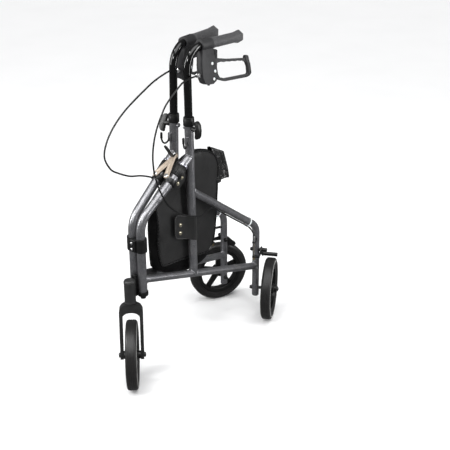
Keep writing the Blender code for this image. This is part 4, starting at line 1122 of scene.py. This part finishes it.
def drape(reach, height, seed):
    """Slow waves that stand for the slack in the vinyl."""
    return (math.sin(reach * 38 + seed) * math.cos(height * 21 - seed * 1.7)
            + 0.6 * math.sin(reach * 17 - height * 33 + seed * 2.3))


def bag_flap():
    """The slack top rear of the gusset, which hangs outward in folds."""
    across, up = 72, 22
    work = bmesh.new()

    def point(u, v):
        angle = math.pi * (u - 0.5)
        tip = 0.4125 - 0.0215 * v ** 1.6
        start = 0.3380 - 0.014 * v
        fold = 0.0034 * math.sin(9.0 * angle + 2.2 * v) + 0.0020 * math.sin(17.0 * angle - 3.0 * v + 1.0)
        fold = (fold + 0.0012 * math.sin(31.0 * angle + 5.0 * v)) * (1 - 0.35 * v)
        y = start + (tip - start) * abs(math.cos(angle)) ** 0.62
        width = (0.0118 - 0.0045 * v ** 3) * (1.0 + 0.22 * math.sin(5.0 * v + 2.0 * angle))
        x = width * math.sin(angle)
        fold *= min(1.0, max(0.0, (abs(x) - 0.0020) / 0.0050))
        out = Vector((math.sin(angle), math.cos(angle) * 0.8))
        x += out[0] * fold
        y += out[1] * fold
        line = 0.5790 + (0.3830 - y) * 0.50
        low = 0.4935 + 0.0016 * math.sin(6 * angle + 1.0)
        return Vector((x, y, low + (line - low) * v))

    grid = [[work.verts.new(point(u / across, v / up)) for u in range(across + 1)]
            for v in range(up + 1)]
    for low, high in zip(grid, grid[1:]):
        for i in range(across):
            work.faces.new((low[i], low[i + 1], high[i + 1], high[i]))
    top = grid[-1]
    for share, rise in ((0.7, 0.0016), (0.35, 0.0026), (0.0, 0.0030)):
        ring = [work.verts.new((v.co.x * share, v.co.y - 0.0012 * (1 - share), v.co.z + rise))
                for v in grid[-1]]
        for i in range(across):
            work.faces.new((top[i], top[i + 1], ring[i + 1], ring[i]))
        top = ring
    bmesh.ops.remove_doubles(work, verts=work.verts, dist=0.00005)
    bmesh.ops.recalc_face_normals(work, faces=work.faces)
    mesh = from_bmesh(work, None)
    holder = bpy.data.objects.new("flap", mesh)
    WORK.objects.link(holder)
    thick = holder.modifiers.new("thick", "SOLIDIFY")
    thick.thickness, thick.offset = 0.0016, -1
    detail = holder.modifiers.new("detail", "SUBSURF")
    detail.levels = detail.render_levels = 1
    made = baked(holder)
    bpy.data.objects.remove(holder)
    return made


def snap(matrix, radius=0.0060):
    dome = [(0, 0.0020), (0.4 * radius, 0.00195), (0.62 * radius, 0.0016), (0.72 * radius, 0.0010),
            (0.78 * radius, 0.0010), (0.95 * radius, 0.0011), (radius, 0.0006), (radius, -0.0008),
            (0, -0.0008)]
    return revolve(dome, matrix, 28)


def without(mesh, cutter):
    """The mesh with another mesh's space cut away."""
    holders = [bpy.data.objects.new("holder", item) for item in (mesh, cutter)]
    for holder in holders:
        WORK.objects.link(holder)
    cut = holders[0].modifiers.new("cut", "BOOLEAN")
    cut.operation, cut.solver, cut.object = "DIFFERENCE", "EXACT", holders[1]
    made = baked(holders[0])
    for holder in holders:
        bpy.data.objects.remove(holder)
    return made


def column_tab():
    """The strap with two snaps that holds the bag to the handle column, with its flat end in front."""
    radius, flat, count = MAIN_RADIUS + 0.0016, 0.0022, 26
    section = [(0.0, 0.1300), (flat, 0.1316), (flat, 0.1480), (flat + 0.0004, 0.1640),
               (flat + 0.0044, 0.1780)]
    section += [(radius * math.sin(math.radians(a)), COLUMN_REACH - radius * math.cos(math.radians(a)))
                for a in (62, 78, 94, 110, 126, 142, 158, 180)]
    ring = section + [(-x, y) for x, y in section[-2:0:-1]]
    work = bmesh.new()
    rows = []
    for step in range(count + 1):
        v = step / count
        row = []
        for x, y in ring:
            reach = (y - 0.1300) / 0.0763
            low, high = 0.3925 - 0.0256 * reach, 0.4651 - 0.0249 * reach
            front = max(0.0, 1 - (y - 0.1300) / 0.0125)
            round_off = 0.0125 * (1 - math.sqrt(max(0.0, 1 - front * front)))
            low, high = low + round_off, high - round_off
            row.append(work.verts.new((x + lean_x(0.42), y, low + (high - low) * v)))
        rows.append(row)
    size = len(ring)
    for low, high in zip(rows, rows[1:]):
        for i in range(size):
            j = (i + 1) % size
            work.faces.new((low[i], low[j], high[j], high[i]))
    for row in (rows[0], rows[-1]):
        half = size // 2
        for i in range(1, half):
            near = row[i + 1] if i + 1 <= half else row[half]
            a, b, c, d = row[i], near, row[(size - i - 1) % size], row[size - i]
            if i + 1 == half:
                work.faces.new((a, row[half], d))
            else:
                work.faces.new((a, b, c, d))
        work.faces.new((row[0], row[1], row[size - 1]))
    bmesh.ops.recalc_face_normals(work, faces=work.faces)
    mesh = from_bmesh(work, None)
    column = rod((lean_x(0.34), COLUMN_REACH, 0.34), (lean_x(0.49), COLUMN_REACH, 0.49),
                 MAIN_RADIUS + 0.0003, 48)
    mesh = edge_finish(without(mesh, column), 0.0007, 2, 50, dissolve=False)
    on_frame("bag_tab", mesh, "bag_vinyl")
    lift = lean_x(0.42) + flat + 0.0004
    rim = [(0.1790, 0.4484), (0.1600, 0.4545), (0.1440, 0.4600), (0.1358, 0.4600), (0.1318, 0.4530),
           (0.1314, 0.4300), (0.1312, 0.4050), (0.1330, 0.3970), (0.1390, 0.3905), (0.1600, 0.3835),
           (0.1790, 0.3775)]
    rim = [(lift + (0.0028 if reach == 0.1790 else 0), reach, height) for reach, height in rim]
    on_frame("bag_tab_edge", tube(smooth_path(rim, 0.0025), 0.0012, 10), "bag_vinyl",
             finish="webbing")
    snaps = joined(*[snap(Matrix.Translation((lift, y, z)) @ ALONG_X)
                     for y, z in ((0.1510, 0.4293), (0.1503, 0.4042))])
    on_frame("bag_tab_snap", snaps, "bag_vinyl", finish="snap_brass")


def sleeve_tab():
    """The strap with three snaps that hangs the bag from the sloping tube."""
    loop = [(0.1120, 0.5560), (0.1260, 0.5440), (0.1500, 0.5420), (0.1730, 0.5600), (0.1760, 0.5800),
            (0.1600, 0.5880), (0.1350, 0.5750)]
    plate = edge_finish(outline([soft_loop(loop, 0.008)], -0.0016, 0.0016), 0.0007, 2)
    on_frame("sleeve_tab", plate, "bag_vinyl", matrix=FRAME @ Matrix.Translation((-0.0015, 0, 0)))
    spots = ((0.1605, 0.5725, 0.0050), (0.1447, 0.5591, 0.0060), (0.1254, 0.5558, 0.0036))
    snaps = joined(*[snap(Matrix.Translation((0.0002, y, z)) @ ALONG_X, r) for y, z, r in spots])
    on_frame("sleeve_tab_snap", snaps, "bag_vinyl", finish="snap_brass")


def bag():
    mesh = inflated(bag_shell(), 0.0042, 0.0042, 3.0)
    for vertex in mesh.vertices:
        x, y, z = vertex.co
        side = 1 if x > 0 else -1
        strength = min(1.0, abs(x) / 0.006)
        vertex.co.x += side * strength * 0.0007 * drape(y, z, 1.3 if side > 0 else 4.1)
    tree = BVHTree.FromPolygons([v.co for v in mesh.vertices], [p.vertices for p in mesh.polygons])
    # Faces outside the side panels take the gusset's darker copy of the vinyl, which is painted shade.
    edge = closed_curve(PANEL, 120)
    for polygon in mesh.polygons:
        x, y, z = polygon.center
        ahead = far_lead(y) if x < 0 else 0
        panel = (within(edge, y + ahead, z + AHEAD_DROP * ahead)
                 and abs(polygon.normal.x) > 0.25 and abs(x) > 0.0065)
        polygon.material_index = 0 if panel else 1
    mesh.transform(HEAD)
    bag_pieces("bag_part", mesh, "bag", second="gusset_vinyl")
    cords = []
    for side in (1, -1):
        path = []
        for point in closed_curve(PANEL, 150):
            if side < 0:
                ahead = far_lead(point[0])
                point = (point[0] - ahead, point[1] - AHEAD_DROP * ahead)
            hit = tree.ray_cast(Vector((side * 0.06, point[0], point[1])), Vector((-side, 0, 0)))[0]
            if not hit or hit.x * side < 0.002:
                hit = tree.find_nearest(Vector((side * half_thickness(*point), point[0], point[1])))[0]
            path.append((hit.x + side * 0.0010, hit.y, hit.z))
        for _ in range(3):
            wider = [path[-1], *path, path[0]]
            path = [tuple((Vector(a) + 2 * Vector(b) + Vector(c)) / 4)
                    for a, b, c in zip(wider, path, wider[2:])]
        cords.append(tube(path + [path[0]], 0.0027, 12))
    piping = joined(*cords)
    piping.transform(HEAD)
    bag_pieces("bag_piping", piping, finish="piping_vinyl")
    flap = bag_flap()
    flap.transform(HEAD)
    bag_pieces("bag_flap", flap, finish="flap_vinyl")
    column_tab()
    sleeve_tab()


# ------------------------------------------------------------------ stage, light and camera


AMBIENT, REFLECTED = 0.30, 0.17


def stage():
    floor = bpy.data.meshes.new("floor")
    floor.from_pydata([(-30, -30, 0), (30, -30, 0), (30, 30, 0), (-30, 30, 0)], [], [(0, 1, 2, 3)])
    plane = bpy.data.objects.new("floor", floor)
    WORK.objects.link(plane)
    plane.location.z = -0.0004
    m = Nodes("studio_floor").set(Roughness=0.75, Specular_IOR_Level=0.1)
    m.colour(m.noise(3), (0.3, grey(0.93)), (0.7, grey(0.95)))
    plane.data.materials.append(m.material)
    plane.visible_glossy = False

    world = bpy.data.worlds.new("studio")
    bpy.context.scene.world = world
    world.use_nodes = True
    tree = world.node_tree
    ray = tree.nodes.new("ShaderNodeLightPath")
    glossy = tree.nodes.new("ShaderNodeMapRange")
    glossy.inputs["To Min"].default_value = AMBIENT
    glossy.inputs["To Max"].default_value = REFLECTED
    tree.links.new(ray.outputs["Is Glossy Ray"], glossy.inputs["Value"])
    strength = tree.nodes.new("ShaderNodeMapRange")
    tree.links.new(glossy.outputs[0], strength.inputs["To Min"])
    strength.inputs["To Max"].default_value = 1.0
    tree.links.new(ray.outputs["Is Camera Ray"], strength.inputs["Value"])
    background = tree.nodes["Background"]
    background.inputs["Color"].default_value = (0.955, 0.965, 0.985, 1.0)
    tree.links.new(strength.outputs[0], background.inputs["Strength"])

    def sun(name, energy, spread, tilt):
        light = bpy.data.lights.new(name, "SUN")
        light.energy = energy
        light.angle = math.radians(spread)
        lamp = bpy.data.objects.new(name, light)
        WORK.objects.link(lamp)
        lamp.rotation_euler = [math.radians(angle) for angle in tilt]
        return lamp

    def area(name, place, target, size, power, shape=(1.0, 1.0)):
        light = bpy.data.lights.new(name, "AREA")
        light.shape = "RECTANGLE"
        light.size, light.size_y = size * shape[0], size * shape[1]
        light.energy = power
        lamp = bpy.data.objects.new(name, light)
        WORK.objects.link(lamp)
        lamp.location = place
        lamp.rotation_euler = (Vector(target) - Vector(place)).to_track_quat("-Z", "Y").to_euler()

    sun("overhead", 2.3, 55, (10, 14, 0))
    sun("glint", 0.55, 9, (24, -22, 0)).visible_diffuse = False
    area("key", (-1.3, -1.5, 1.5), (0, 0, 0.55), 0.45, 34, (0.7, 3.6))
    area("front", (0.3, -2.2, 2.2), (0, 0, 0.6), 0.40, 20)
    area("rim", (1.8, 0.75, 1.1), (0, 0, 0.5), 0.40, 20, (0.7, 4.0))

    view = bpy.context.scene.view_settings
    view.view_transform = "Standard"
    view.look = "None"
    view.exposure = 0.0
    view.gamma = 1.0


AZIMUTH, ELEVATION, ROLL = (math.radians(angle) for angle in (37.727, 24.772, 0.107))
CAMERA_TARGET, CAMERA_DISTANCE, LENS = Vector((0.115, 0.0252, 0.4179)), 2.6167, 72.607


def camera():
    back = Vector((math.sin(AZIMUTH) * math.cos(ELEVATION), -math.cos(AZIMUTH) * math.cos(ELEVATION),
                   math.sin(ELEVATION)))
    data = bpy.data.cameras.new("camera")
    data.sensor_width = 36.0
    data.lens = LENS
    data.clip_start, data.clip_end = 0.05, 100
    obj = bpy.data.objects.new("camera", data)
    WORK.objects.link(obj)
    facing = aimed(back) @ Matrix.Rotation(-ROLL, 4, "Z")
    obj.matrix_world = Matrix.Translation(CAMERA_TARGET + back * CAMERA_DISTANCE) @ facing
    bpy.context.scene.camera = obj


frame_tubes()
head_and_fork()
wheels()
handles()
cables()
straps()
rear_brakes()
links()
bag()
stage()
camera()
